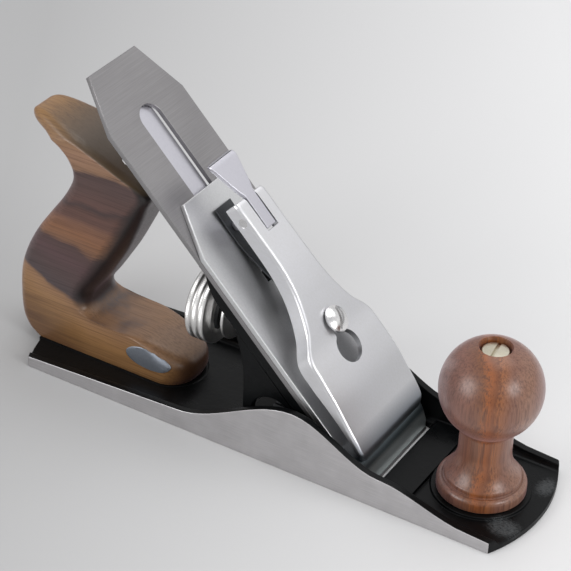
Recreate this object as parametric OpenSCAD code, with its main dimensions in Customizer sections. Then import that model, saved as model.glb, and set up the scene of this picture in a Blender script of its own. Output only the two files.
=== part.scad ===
// Metal smoothing plane: a cast body with wooden tote and knob, and a cutter
// unit on a sliding frog with depth wheel, lateral lever and cam lever cap.
// The origin is on the flat sole, in the middle of its length and width.
// X points to the toe, Y to the far side and Z up.

/* [Body casting] */
// Length of the sole from heel to toe
sole_l = 235; // [228:1:260]
// Width of the sole
sole_w = 63; // [62:0.5:70]
// Thickness of the sole plate
sole_t = 3; // [2.4:0.2:3.4]
// Thickness of the side walls
cheek_t = 3.2; // [2.4:0.1:3.4]
// Height of the side walls at their peak
cheek_peak_z = 29.5; // [24:0.5:34]
// Height of the side walls where the rear sweep starts
cheek_shoulder_z = 9; // [7:0.5:12]
// Height of the side walls beside the mouth
cheek_brow_z = 14.3; // [11:0.1:17]
// Height of the side walls at the two ends of the sole
cheek_end_z = 4.8; // [4.4:0.1:6]
// How far the toe arc stands out from its corners
toe_bulge = 7.9; // [5:0.1:10]
// How far the heel arc stands out from its corners
heel_bulge = 7; // [4:0.1:9]
// Radius of the cove between floor and side wall
cove_r = 2.4; // [1:0.2:4]
// Height of the thick pad in front of the mouth
plateau_z = 4.4; // [4:0.1:5.4]
// Length of the thick pad in front of the mouth
plateau_l = 14.6; // [11:0.1:18]

/* [Mouth and frog seat] */
// Distance from the middle of the sole to where the bed meets the sole plane
bed_x = 49.4; // [44:0.2:54]
// Angle of the bed to the sole
bed_angle = 45; // [44:0.5:46]
// Open gap between the cutting edge and the front of the mouth
mouth_gap = 2.9; // [2.4:0.1:4]
// Height of the seat that the frog slides on
seat_z = 7.5; // [6.5:0.5:9]
// Travel of the frog each way from rest
frog_travel = 1.5; // [0.5:0.1:1.6]

/* [Frog] */
// Width of the frog
frog_w = 48; // [46:0.5:49]
// Length of the bed up to where the arched top starts
frog_l = 92; // [90:0.5:94]
// Thickness of the bed plate
frog_plate_t = 6; // [5.4:0.1:6.4]
// Thickness of the side webs
frog_web_t = 4; // [3:0.1:4.5]
// Thickness of the frog's foot
frog_foot_t = 5; // [4:0.1:6]
// Place of the frog's rear edge along the body
frog_rear_x = -8; // [-10:0.2:-6]
// Radius of the hollow curve of the frog's rear edge
frog_back_r = 64; // [60:1:70]
// Place of the two frog screws along the body
frog_screw_x = 6; // [4:0.5:8]
// Half of the distance between the frog screws
frog_screw_y = 14; // [13.5:0.1:14]
// Radius of the frog screws
frog_screw_r = 2.5; // [2:0.1:3]

/* [Cutter] */
// Width of the iron
iron_w = 51; // [49:0.5:51.5]
// Thickness of the iron
iron_t = 2.2; // [2:0.1:2.4]
// Length of the iron from the cutting edge
iron_l = 198.4; // [190:0.1:202]
// Width of the iron's top edge
iron_top_w = 31.7; // [26:0.1:36]
// Length of the clipped corners of the iron
iron_clip_l = 24.2; // [18:0.1:30]
// Width of the slot in the iron
slot_w = 13; // [12.6:0.1:14]
// Distance from the sole plane to the top of the slot, along the bed
slot_top_l = 175; // [168:0.5:180]
// Angle of the bevel that sharpens the iron
bevel_angle = 25; // [23:1:30]
// How far the cutting edge rests above the sole plane
edge_lift = 0.2; // [0.1:0.05:0.4]
// Thickness of the cap iron
cap_iron_t = 2.4; // [2:0.1:2.6]
// Place of the cap iron's top edge along the bed
cap_iron_top_l = 134; // [130:0.5:140]
// Height of the hump of the cap iron
hump_h = 3.4; // [2.6:0.1:3.6]
// Length of the hump of the cap iron
hump_l = 21; // [18:0.5:24]
// Radius of the cap iron screw's head
cap_screw_head_r = 7.5; // [7:0.1:8]
// Radius of the cap iron screw
cap_screw_r = 4; // [3:0.1:4.5]
// Place of the cap iron screw along the bed
cap_screw_l = 40; // [38:0.5:42]

/* [Lever cap] */
// Place of the lever cap's lower edge along the bed
lever_cap_l0 = 9.5; // [8.5:0.1:11]
// Place of the lever cap's upper end along the bed
lever_cap_l1 = 122; // [120:0.5:124]
// Half width of the narrow upper part
lever_cap_neck_hw = 10; // [9.6:0.1:11]
// Thickness of the lever cap's plate
lever_cap_t = 2.6; // [2.2:0.1:2.8]
// Thickness of the lever cap's turned down sides
flange_t = 2.8; // [2.4:0.1:3.2]
// Place of the lever cap screw along the bed
hold_screw_l = 61.5; // [60.5:0.5:62.5]
// Radius of the lever cap screw
hold_screw_r = 3; // [2.5:0.1:3.2]
// Radius of the lever cap screw's head
hold_head_r = 5.8; // [5:0.1:6]
// Radius of the round end of the keyhole
keyhole_r = 7; // [6.4:0.1:7.2]
// Travel of the lever cap up to where its keyhole frees the screw head
cap_travel = 12; // [11:0.5:12.5]
// Distance from the lever cap's upper end down to the cam pin
cam_pin_setback = 7.6; // [7:0.1:8.2]
// Height of the cam pin above the bed
cam_pin_t = 18.2; // [17.8:0.1:18.6]
// Radius of the cam pin
cam_pin_r = 2; // [1.6:0.1:2.2]
// Width of the cam lever where it passes the notch
cam_w = 6.2; // [5:0.1:7]
// Half width of the thumb plate at its free end
thumb_hw = 8.6; // [7:0.1:10]
// How far the thumb plate stands out past the lever cap's upper end
thumb_reach = 19; // [16:0.5:22]
// Thickness of the leaf spring
spring_t = 0.8; // [0.6:0.1:0.9]
// Width of the leaf spring
spring_w = 11; // [9:0.2:16.4]

/* [Adjusters] */
// Height of the depth wheel's axis above the sole plane
wheel_z = 44.2; // [43.6:0.1:44.8]
// Radius of the depth wheel
wheel_r = 17; // [15:0.5:18]
// Place of the depth wheel's rear face along the body
wheel_x0 = -41.1; // [-42:0.1:-41]
// Width of one of the three rings of the wheel's rim
ring_w = 2.4; // [2.2:0.1:2.5]
// Width of the narrow grooves between the rings
ring_gap = 0.7; // [0.5:0.1:0.9]
// Radius of the collars that hold the yoke
collar_r = 12.5; // [11.5:0.1:13]
// Width of the groove that the yoke runs in
groove_w = 4.4; // [4.4:0.1:4.8]
// Radius of the wheel's neck in the groove
neck_r = 8; // [7:0.1:8.5]
// Radius of the threaded stud that carries the wheel
stud_r = 3.5; // [3:0.1:4]
// Place of the yoke's pivot along the bed
yoke_l = 91; // [90.6:0.1:91.4]
// Depth of the yoke's pivot below the bed
yoke_depth = 9.6; // [9.4:0.1:9.8]
// Thickness of the yoke's fork
fork_t = 1.8; // [1.6:0.1:2]
// Place of the lateral lever's pivot along the bed
lateral_l = 111; // [110.5:0.1:111.5]
// Distance from the lateral lever's pivot down to its roller
roller_arm = 10; // [9.6:0.1:10]
// Radius of the lateral lever's roller
roller_r = 5.6; // [5.2:0.1:5.6]
// Half width of the lateral lever's arm
lateral_hw = 6; // [5:0.1:6.4]
// Place of the lateral lever's thumb tab along the bed
lateral_top_l = 178; // [174:0.5:182]

/* [Wooden parts] */
// Thickness of the tote
tote_w = 28; // [22:0.5:30]
// Height of the tote from its seat to the top of its horn
tote_h = 109; // [100:0.5:115]
// Rounding along the tote's edges
tote_edge_r = 5; // [3.4:0.2:5.6]
// Distance from the heel end of the sole to the tote's seat
tote_setback = 0.5; // [0:0.5:4]
// Radius of the ball of the knob
knob_r = 20.8; // [19:0.2:22]
// Height of the ball's centre above the knob's foot
knob_ball_h = 48.5; // [44:0.5:52]
// Radius of the knob's foot
knob_foot_r = 18.2; // [17:0.1:19]
// Radius of the knob's waist
knob_waist_r = 10.7; // [9:0.1:11.6]
// Distance from the toe end of the sole to the knob's axis
knob_setback = 27.3; // [25:0.1:30]
// Radius of the rods that hold the tote and the knob
rod_r = 2.6; // [2.2:0.1:3]
// Radius of the slotted nuts on the rods
nut_r = 5.6; // [5:0.1:6]

/* [Hidden] */

$fn = 72;
eps = 0.01;
slide_gap = 0.05;
run_gap = 0.06;
part_gap = 0.35;

enamel = "#1c1e20";
ground_steel = "#97979a";
bright_steel = "#c4c4cc";
walnut = "#7a4a2c";
walnut_dark = "#5f3628";

toe_x = sole_l / 2;
heel_x = -sole_l / 2;
channel_w = sole_w - 2 * cheek_t;
bed_s = sin(bed_angle);
bed_c = cos(bed_angle);

// Turns a place on the bed, l along it and t above it, into x and z
function bed_point(l, t) = [bed_x - l * bed_c + t * bed_s, l * bed_s + t * bed_c];
function ease(u) = u * u * (3 - 2 * u);
function mix(a, b, u) = a + (b - a) * u;
function arc_r(width, bulge) = (width * width / 4 + bulge * bulge) / (2 * bulge);
// Slope of column k of a list of rows, whose first column is the place
function slope(rows, i, k) = let (a = max(i - 1, 0), b = min(i + 1, len(rows) - 1))
    (rows[b][k] - rows[a][k]) / (rows[b][0] - rows[a][0]);
// Smooth reading of column k at the place x between the rows
function read(rows, x, k) = let (
    i = max([for (n = [0 : len(rows) - 2]) rows[n][0] <= x ? n : 0]), h = rows[i + 1][0] - rows[i][0],
    u = (x - rows[i][0]) / h, p = rows[i][k], q = rows[i + 1][k], v = 1 - u)
    p * v * v * (1 + 2 * u) + q * u * u * (3 - 2 * u)
        + h * u * v * (v * slope(rows, i, k) - u * slope(rows, i + 1, k));

module on_bed() {
    translate([bed_x, 0, 0]) rotate([0, -bed_angle, 180]) children();
}

// A side profile drawn in x and z, given a width across the body
module across(width) {
    translate([0, width / 2, 0]) rotate([90, 0, 0]) linear_extrude(width) children();
}

function fan(n) = [for (j = [1 : n - 2]) [0, j, j + 1]];

// Skins a list of rings with the same number of points each, and closes both ends with the same triangles
module skin(rings, end) {
    n = len(rings[0]);
    m = len(rings);
    last = (m - 1) * n;
    points = [for (r = rings) each r];
    sides = [for (i = [0 : m - 2]) for (j = [0 : n - 1]) each [
        [i * n + j, i * n + (j + 1) % n, (i + 1) * n + j],
        [i * n + (j + 1) % n, (i + 1) * n + (j + 1) % n, (i + 1) * n + j]]];
    starts = [for (t = end) [t[0], t[2], t[1]]];
    stops = [for (t = end) [last + t[0], last + t[1], last + t[2]]];
    polyhedron(points, concat(sides, starts, stops), convexity = 6);
}

// Body casting
shoulder_x = -36;
peak_x = 20;
brow_x = 60;
bow_x = 100;

function rim_z(x) =
    x < shoulder_x ? mix(cheek_end_z, cheek_shoulder_z, (x - heel_x) / (shoulder_x - heel_x)) :
    x < peak_x ? mix(cheek_shoulder_z, cheek_peak_z, ease((x - shoulder_x) / (peak_x - shoulder_x))) :
    x < brow_x ? mix(cheek_peak_z, cheek_brow_z, ease((x - peak_x) / (brow_x - peak_x))) :
    x < bow_x ? mix(cheek_brow_z, cheek_end_z + 1, ease((x - brow_x) / (bow_x - brow_x))) :
    mix(cheek_end_z + 1, cheek_end_z, min(1, (x - bow_x) / (toe_x - bow_x)));

// What the arc at an end takes off the sole's blank
module end_waste(bulge) {
    r = arc_r(sole_w, bulge);
    translate([-r, 0]) difference() {
        translate([r - bulge - 2, -sole_w]) square([bulge + 4, 2 * sole_w]);
        circle(r, $fn = 240);
    }
}

module sole_outline() {
    difference() {
        square([sole_l + 2, sole_w], center = true);
        translate([toe_x, 0]) end_waste(toe_bulge);
        translate([heel_x, 0]) rotate(180) end_waste(heel_bulge);
    }
}

module rim_profile() {
    step = 4;
    count = floor((peak_x - shoulder_x) / step);
    rear = [for (i = [0 : count - 1]) mix(shoulder_x, peak_x, i / count)];
    front = [for (i = [0 : 9]) mix(peak_x, brow_x, i / 10)];
    bow = [for (i = [0 : 8]) mix(brow_x, bow_x, i / 8)];
    xs = concat([heel_x], rear, front, bow, [toe_x]);
    polygon(concat([[toe_x, 0], [heel_x, 0]], [for (x = xs) [x, rim_z(x)]]));
}

module side_wall() {
    translate([0, (sole_w - cheek_t) / 2, 0]) across(cheek_t) rim_profile();
    intersection() {
        translate([0, channel_w / 2 - cove_r / 2, 0]) across(cove_r) rim_profile();
        translate([heel_x, channel_w / 2 - cove_r, sole_t])
            rotate([90, 0, 90]) linear_extrude(sole_l) difference() {
            square(cove_r);
            translate([0, cove_r]) circle(cove_r, $fn = 36);
        }
    }
}

// The mouth's sloped rear wall lies under the iron wherever the frog stands
mouth_rear = bed_x - frog_travel - 0.5;
edge_x = bed_point(0, 0)[0] + iron_t / bed_s;
mouth_front = edge_x + mouth_gap;
mouth_w = iron_w + 1.8;
seat_rear_x = frog_rear_x - 6;
key_w = 8;
key_h = 2;
key_x1 = frog_screw_x + 14;
front_seat_l = 16;
rear_seat_x1 = frog_screw_x + 10;

module mouth_cut() {
    depth = seat_z + 3;
    across(mouth_w) polygon([
        [mouth_rear + 1 / tan(bed_angle), -1],
        [mouth_front, -1],
        [mouth_front, depth],
        [mouth_rear - depth / tan(bed_angle), depth]]);
}

module seat() {
    front_x0 = mouth_rear - seat_z - front_seat_l;
    across(channel_w + eps) polygon([
        [front_x0, 0], [mouth_rear, 0],
        [mouth_rear - seat_z / tan(bed_angle), seat_z], [front_x0, seat_z]]);
    translate([seat_rear_x, -(frog_w + 2) / 2, 0]) cube([rear_seat_x1 - seat_rear_x, frog_w + 2, seat_z]);
    translate([seat_rear_x + 2, -key_w / 2, 0]) cube([key_x1 - seat_rear_x, key_w, seat_z + key_h]);
}

module body() {
    color(enamel) difference() {
        union() {
            linear_extrude(sole_t) sole_outline();
            intersection() {
                union() {
                    side_wall();
                    mirror([0, 1, 0]) side_wall();
                }
                linear_extrude(cheek_peak_z + 1) sole_outline();
            }
            translate([mouth_front, -channel_w / 2 - eps, 0]) cube([plateau_l, channel_w + 2 * eps, plateau_z]);
            translate([knob_x, 0, 0]) cylinder(knob_z0, r = knob_foot_r + 2.1, $fn = 120);
            linear_extrude(tote_z0) tote_seat_outline();
            seat();
        }
        mouth_cut();
        for (side = [-1, 1])
            translate([frog_screw_x, side * frog_screw_y, sole_t / 2]) cylinder(seat_z, r = frog_screw_r);
        translate([knob_x, 0, knob_z0 - rod_hold]) cylinder(rod_hold + 1, r = rod_r);
        tote_rod_place() translate([0, 0, -rod_hold]) cylinder(rod_hold + 4, r = rod_r);
    }
}

// Frog
channel_depth = 4.4;
channel_hw = cap_screw_head_r + 1.5;
well_r = 5.8;
washer_r = 5.2;
washer_t = 1.2;
foot_top = seat_z + slide_gap + frog_foot_t;
frog_z0 = seat_z + slide_gap;
boss_r = 8;
boss_rear_x = frog_rear_x - 7;
stud_front_x = -5;
yoke_p = bed_point(yoke_l, -yoke_depth);
yoke_hub_r = 3.2;
yoke_hw = 4;
ear_t = 3;
pin_r = 1.6;
yoke_pin_w = 2 * (yoke_hw + ear_t + 0.3);
lever_z0 = -2.2;
lever_t = 1.8;
recess_depth = 2.6;
frog_hollow_z = 28;
arch_x = 6;
arch_r = 10;

module slot_along_x(radius, travel, height) {
    for (side = [-1, 1]) translate([side * travel, 0, 0]) cylinder(height, r = radius);
    translate([-travel, -radius, 0]) cube([2 * travel, 2 * radius, height]);
}

// Half space below the bed, drawn in x and z, a little deeper than the bed's own face
module below_bed(depth) {
    polygon([
        bed_point(-20, -depth), bed_point(frog_l + 20, -depth), [bed_point(frog_l + 20, -depth)[0], -20]]);
}

module frog_side() {
    difference() {
        intersection() {
            below_bed(1);
            union() {
                translate([frog_rear_x, 0]) square([sole_l, frog_hollow_z + 5]);
                translate([frog_rear_x - 40, frog_hollow_z]) square([sole_l, sole_l]);
            }
        }
        translate([frog_rear_x - frog_back_r, frog_hollow_z]) circle(frog_back_r, $fn = 240);
        intersection() {
            translate([arch_x - arch_r, foot_top]) square([2 * arch_r, 3 * arch_r]);
            translate([arch_x, foot_top + 4]) circle(arch_r);
        }
    }
}

module frog_body() {
    web_y = frog_w / 2 - 0.4;
    intersection() {
        union() {
            on_bed() translate([0, 0, -frog_plate_t]) linear_extrude(frog_plate_t) {
                translate([0, -frog_w / 2]) square([frog_l, frog_w]);
                translate([frog_l, 0]) circle(frog_w / 2, $fn = 240);
            }
            across(2 * web_y - frog_web_t) intersection() {
                translate([frog_rear_x, 0]) square([sole_l, foot_top]);
                below_bed(1);
            }
            for (side = [-1, 1]) translate([0, side * (web_y - frog_web_t / 2), 0]) across(frog_web_t) frog_side();
        }
        translate([-sole_l / 2, -sole_w / 2, frog_z0]) cube([sole_l, sole_w, sole_l]);
    }
    intersection() {
        translate([boss_rear_x, 0, wheel_z]) rotate([0, 90, 0]) cylinder(frog_l, r = boss_r);
        across(3 * boss_r) below_bed(1);
    }
    on_bed() translate([hold_screw_l, 0, -hold_depth - 3]) cylinder(hold_depth + 2, r = hold_screw_r + 3);
    for (side = [-1, 1]) yoke_ear(side);
}

module yoke_ear(side) {
    ear_r = pin_r + 1.6;
    translate([yoke_p[0], side * (yoke_hw + ear_t / 2 + 0.3), yoke_p[1]]) rotate([0, -bed_angle, 180])
        rotate([90, 0, 0]) linear_extrude(ear_t, center = true) {
            circle(ear_r);
            translate([-ear_r, 0]) square([2 * ear_r, yoke_depth - frog_plate_t + 1]);
        }
}

module frog() {
    color(enamel) difference() {
        frog_body();
        on_bed() {
            translate([cap_screw_l - channel_hw - 1, -channel_hw, -channel_depth])
                cube([2 * channel_hw + 2, 2 * channel_hw, channel_depth + 1]);
            translate([yoke_l - 5.5, -yoke_hw - 0.3, -yoke_depth - 8])
                cube([11, 2 * yoke_hw + 0.6, yoke_depth + 9]);
            translate([lateral_l - roller_arm - 8, -8.6, -recess_depth]) cube([frog_l, 17.2, recess_depth + 1]);
            translate([lateral_l, 0, -frog_plate_t - 1]) cylinder(frog_plate_t + 2, r = 2.4);
            translate([hold_screw_l, 0, -hold_depth]) cylinder(hold_depth + 1, r = hold_screw_r);
        }
        for (side = [-1, 1]) translate([frog_screw_x, side * frog_screw_y, 0]) {
            slot_along_x(frog_screw_r + 0.4, frog_travel + 0.1, foot_top + 1);
            translate([0, 0, foot_top]) slot_along_x(well_r, frog_travel + 0.1, frog_l);
        }
        translate([seat_rear_x - 20, -key_w / 2 - 0.3, 0])
            cube([key_x1 - seat_rear_x + 26, key_w + 0.6, seat_z + key_h + 0.3]);
        translate([boss_rear_x - 1, 0, wheel_z]) rotate([0, 90, 0])
            cylinder(stud_front_x - boss_rear_x + 1, r = stud_r);
        translate([yoke_p[0], 0, yoke_p[1]]) rotate([90, 0, 0]) cylinder(yoke_pin_w + 2, r = pin_r, center = true);
    }
}

module frog_screw(side) {
    head_z = foot_top + 0.1 + washer_t;
    color(bright_steel) translate([frog_screw_x, side * frog_screw_y, 0]) difference() {
        union() {
            translate([0, 0, sole_t / 2]) cylinder(head_z - sole_t / 2, r = frog_screw_r);
            translate([0, 0, head_z]) cylinder(3, r = 4.4);
        }
        translate([-6, -0.6, head_z + 1.8]) cube([12, 1.2, 3]);
    }
}

module frog_washer(side) {
    color(bright_steel) translate([frog_screw_x, side * frog_screw_y, foot_top + 0.1]) difference() {
        cylinder(washer_t, r = washer_r);
        translate([0, 0, -1]) cylinder(washer_t + 2, r = frog_screw_r);
    }
}

module frog_screw_near() { frog_screw(-1); }
module frog_screw_far() { frog_screw(1); }
module frog_washer_near() { frog_washer(-1); }
module frog_washer_far() { frog_washer(1); }

// Depth adjuster
rim_w = 3 * ring_w + 2 * ring_gap;
collar_w = 1.4;
wheel_rim_x1 = wheel_x0 + rim_w;
groove_x0 = wheel_rim_x1 + collar_w;
groove_x1 = groove_x0 + groove_w;
wheel_x1 = groove_x1 + collar_w;
groove_x = (groove_x0 + groove_x1) / 2;
stud_rear_x = wheel_x0 - 2.4;

module depth_stud() {
    color(bright_steel) translate([stud_rear_x, 0, wheel_z]) rotate([0, 90, 0])
        cylinder(stud_front_x - stud_rear_x, r = stud_r);
}

module depth_wheel() {
    color(bright_steel) translate([0, 0, wheel_z]) rotate([0, 90, 0]) wheel_solid();
}

module wheel_solid() {
    dish_r = wheel_r - 4;
    difference() {
        union() {
            for (i = [0 : 2])
                translate([0, 0, wheel_x0 + i * (ring_w + ring_gap)]) cylinder(ring_w, r = wheel_r, $fn = 120);
            translate([0, 0, wheel_x0]) cylinder(rim_w, r = wheel_r - 0.9, $fn = 120);
            translate([0, 0, wheel_rim_x1 - eps]) cylinder(collar_w + eps, r = collar_r);
            translate([0, 0, groove_x0 - eps]) cylinder(groove_w + 2 * eps, r = neck_r);
            translate([0, 0, groove_x1]) cylinder(collar_w, r = collar_r);
        }
        translate([0, 0, wheel_x0 - 1]) difference() {
            cylinder(2.4, r = dish_r);
            cylinder(2.4, r = neck_r);
        }
        translate([0, 0, wheel_x0 - 1]) cylinder(wheel_x1 - wheel_x0 + 2, r = stud_r + run_gap);
    }
}

module yoke() {
    px = yoke_p[0];
    pz = yoke_p[1];
    x0 = groove_x - fork_t / 2;
    x1 = groove_x + fork_t / 2;
    fork_in = neck_r + 1.2;
    fork_out = fork_in + 3;
    fork_z0 = wheel_z - neck_r / 2;
    color(enamel) difference() {
        union() {
            translate([px, 0, pz]) rotate([90, 0, 0]) cylinder(2 * yoke_hw, r = yoke_hub_r, center = true);
            on_bed() translate([yoke_l - 2.2, -2.5, -yoke_depth])
                cube([4.4, 5, yoke_depth + iron_t + cap_iron_t - 0.4]);
            intersection() {
                across(2 * fork_out) polygon([
                    [px, pz + yoke_hub_r], [x0 + 1, pz + yoke_hub_r], [x0, pz + yoke_hub_r - 1],
                    [x0, fork_z0], [x1, fork_z0], [x1, pz - 0.2], [px, pz - 0.2]]);
                translate([-60, 0, 0]) rotate([90, 0, 90]) linear_extrude(60) difference() {
                    union() {
                        translate([0, wheel_z]) circle(fork_out);
                        translate([-yoke_hw, wheel_z]) square([2 * yoke_hw, pz - wheel_z + yoke_hub_r]);
                    }
                    translate([0, wheel_z]) circle(fork_in);
                    translate([-fork_in, wheel_z - 20]) square([2 * fork_in, 20]);
                }
            }
        }
        translate([px, 0, pz]) rotate([90, 0, 0]) cylinder(frog_w, r = pin_r + run_gap, center = true);
    }
}

module yoke_pin() {
    color(bright_steel) translate([yoke_p[0], 0, yoke_p[1]]) rotate([90, 0, 0])
        cylinder(yoke_pin_w, r = pin_r, center = true);
}

// Lateral lever, drawn on the bed
module lateral_lever() {
    tab_t = 2;
    tab_drop = 10;
    color(bright_steel) on_bed() {
        difference() {
            translate([0, 0, lever_z0]) linear_extrude(lever_t) {
                translate([lateral_l, 0]) circle(7);
                translate([lateral_l - roller_arm, 0]) circle(5.4);
                translate([lateral_l - roller_arm, -5]) square([roller_arm, 10]);
                polygon([
                    [lateral_l, -7], [lateral_l + 10, -lateral_hw], [lateral_top_l, -lateral_hw],
                    [lateral_top_l, lateral_hw], [lateral_l + 10, lateral_hw], [lateral_l, 7]]);
            }
            translate([lateral_l, 0, -5]) cylinder(10, r = 2.4 + run_gap);
            translate([lateral_l - roller_arm, 0, -5]) cylinder(10, r = 1.8);
        }
        translate([lateral_top_l - tab_t, 0, lever_z0]) rotate([0, 90, 0]) linear_extrude(tab_t) intersection() {
            translate([0, -lateral_hw]) square([tab_drop, 2 * lateral_hw]);
            translate([tab_drop - lateral_hw * 1.3, 0]) circle(lateral_hw * 1.3);
        }
    }
}

module lateral_roller() {
    color(bright_steel) on_bed() translate([lateral_l - roller_arm, 0, 0]) {
        translate([0, 0, lever_z0 + lever_t]) cylinder(iron_t - 0.3 - lever_z0 - lever_t, r = roller_r);
        translate([0, 0, lever_z0]) cylinder(lever_t, r = 1.8);
    }
}

module lateral_rivet() {
    color(bright_steel) on_bed() translate([lateral_l, 0, 0]) {
        translate([0, 0, -frog_plate_t]) cylinder(frog_plate_t + lever_z0 + lever_t + slide_gap, r = 2.4);
        translate([0, 0, lever_z0 + lever_t + slide_gap]) cylinder(1.4, r = 4);
    }
}

// Cutter, drawn on the bed
edge_l = edge_lift / bed_s - iron_t * bed_c / bed_s;
iron_top = edge_l + iron_l;
screw_hole_l = 72;

module bed_across(width) {
    translate([0, width / 2, 0]) rotate([90, 0, 0]) linear_extrude(width) children();
}

module clipped(l0, l1, width, top_w, clip_l) {
    polygon([
        [l0, -width / 2], [l1 - clip_l, -width / 2], [l1, -top_w / 2],
        [l1, top_w / 2], [l1 - clip_l, width / 2], [l0, width / 2]]);
}

module slot_along_bed(l0, l1, radius) {
    translate([l0, 0]) circle(radius);
    translate([l1, 0]) circle(radius);
    translate([l0, -radius]) square([l1 - l0, 2 * radius]);
}

module iron() {
    bevel_l = iron_t / tan(bevel_angle);
    color(ground_steel) on_bed() intersection() {
        translate([0, 0, -1]) linear_extrude(iron_t + 2) difference() {
            clipped(edge_l - 1, iron_top, iron_w, iron_top_w, iron_clip_l);
            slot_along_bed(cap_screw_l - 4, slot_top_l - slot_w / 2, slot_w / 2);
            translate([screw_hole_l, 0]) circle(cap_screw_head_r + 0.8);
        }
        bed_across(iron_w + 2)
            polygon([[edge_l, iron_t], [edge_l + bevel_l, 0], [iron_top + 1, 0], [iron_top + 1, iron_t]]);
    }
}

cap_edge_l = edge_l + 1.2;
cap_top_w = iron_top_w + 2;
cap_clip_l = 22;

// Height of the cap iron's underside above the iron
function hump(l) = l > cap_edge_l + hump_l ? 0 : hump_h * pow(sin(180 * (l - cap_edge_l) / hump_l), 2);
function cap_iron_thick(l) = min(cap_iron_t, 0.35 + (l - cap_edge_l) * 0.8);

module cap_iron() {
    n = 14;
    hump_ls = [for (i = [0 : n]) cap_edge_l + hump_l * pow(i / n, 1.2)];
    rise = [for (l = hump_ls) [l, iron_t + hump(l)]];
    over = [for (l = hump_ls) [l, iron_t + hump(l) + cap_iron_thick(l)]];
    color(ground_steel) on_bed() intersection() {
        translate([0, 0, -1]) linear_extrude(20) difference() {
            clipped(cap_edge_l, cap_iron_top_l, iron_w, cap_top_w, cap_clip_l);
            translate([cap_screw_l, 0]) circle(cap_screw_r);
            slot_along_bed(hold_screw_l - 3.5, hold_screw_l + 6, hold_screw_r + 2.5);
            translate([yoke_l - 2.6, -3]) square([5.2, 6]);
        }
        bed_across(iron_w + 2) polygon(concat(
            rise, [[cap_iron_top_l, iron_t], [cap_iron_top_l, iron_t + cap_iron_t]],
            [for (i = [n : -1 : 0]) over[i]]));
    }
}

module cap_iron_screw() {
    color(bright_steel) on_bed() translate([cap_screw_l, 0, 0]) difference() {
        union() {
            translate([0, 0, -3.6]) cylinder(3.6, r = cap_screw_head_r);
            cylinder(iron_t + cap_iron_t, r = cap_screw_r);
        }
        translate([-cap_screw_head_r - 1, -0.8, -4.6]) cube([2 * cap_screw_head_r + 2, 1.6, 2.6]);
    }
}

// Lever cap, drawn on the bed as rows of place, top height, half width and side depth
wide_hw = iron_w / 2 - 0.1;
neck_hw = lever_cap_neck_hw;
function cap_low(share) = mix(lever_cap_l0, hold_screw_l, share);
function cap_high(share) = mix(hold_screw_l, lever_cap_l1, share);
cap_rows = [
    [lever_cap_l0, 9.7, wide_hw - 3.4, 1],
    [lever_cap_l0 + 0.6, 10.5, wide_hw - 2.2, 1.7],
    [lever_cap_l0 + 1.7, 11.4, wide_hw - 1, 2.2],
    [lever_cap_l0 + 3.5, 12.3, wide_hw - 0.2, 2.6],
    [cap_low(0.165), 13.6, wide_hw, 3],
    [cap_low(0.28), 14.6, wide_hw, 3.4],
    [cap_low(0.49), 16.5, wide_hw - 0.2, 5.2],
    [cap_low(0.72), 17.5, wide_hw - 0.8, 7],
    [cap_low(0.895), 18, wide_hw - 2, 7.6],
    [cap_high(0.04), 19, mix(neck_hw, wide_hw, 0.49), 7.6],
    [cap_high(0.175), 20, mix(neck_hw, wide_hw, 0.25), 7.4],
    [cap_high(0.32), 20.9, mix(neck_hw, wide_hw, 0.09), 7.3],
    [cap_high(0.5), 21.5, neck_hw + 0.2, 7.2],
    [cap_high(0.77), 21.4, neck_hw, 6.9],
    [lever_cap_l1 - 1.5, 21.2, neck_hw, 6.8],
    [lever_cap_l1, 20.6, neck_hw - 0.4, 6.4]];
edge_round = 1.6;

function cap_section(l) = let (
    top = read(cap_rows, l, 1), hw = read(cap_rows, l, 2), drop = read(cap_rows, l, 3),
    inner = min(drop - 0.25, lever_cap_t), er = min(edge_round, drop * 0.7), hi = hw - flange_t)
    concat(
        [[l, -hw, top - drop]],
        [for (a = [180 : -30 : 90]) [l, -hw + er + er * cos(a), top - er + er * sin(a)]],
        [for (a = [90 : -30 : 0]) [l, hw - er + er * cos(a), top - er + er * sin(a)]],
        [[l, hw, top - drop], [l, hi, top - drop], [l, hi - 0.8, top - inner],
            [l, -hi + 0.8, top - inner], [l, -hi, top - drop]]);

// Triangles across one cross-section, from the top skin to the underside
cap_end = [
    [0, 1, 13], [1, 12, 13], [1, 2, 12], [2, 3, 12], [3, 4, 12], [4, 5, 12], [5, 11, 12],
    [5, 6, 11], [6, 7, 11], [7, 8, 11], [8, 10, 11], [8, 9, 10]];

cap_stations = concat(
    [for (d = [0, 0.3, 0.6, 1.1, 1.7, 2.6, 3.5, 5]) lever_cap_l0 + d],
    [for (i = [1 : 23]) mix(lever_cap_l0 + 5, lever_cap_l1 - 1.5, i / 23)],
    [lever_cap_l1]);

keyhole_l = hold_screw_l - cap_travel;
cam_pin_l = lever_cap_l1 - cam_pin_setback;
cam_top_t = 21.4;
cam_tail = 7.4;
// The cam lever's tail swings clear of the notch's end
notch_l0 = cam_pin_l - norm([cam_tail, cam_top_t - cam_pin_t]) - part_gap;
hold_seat_t = 19.75;
hold_depth = 13;

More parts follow.
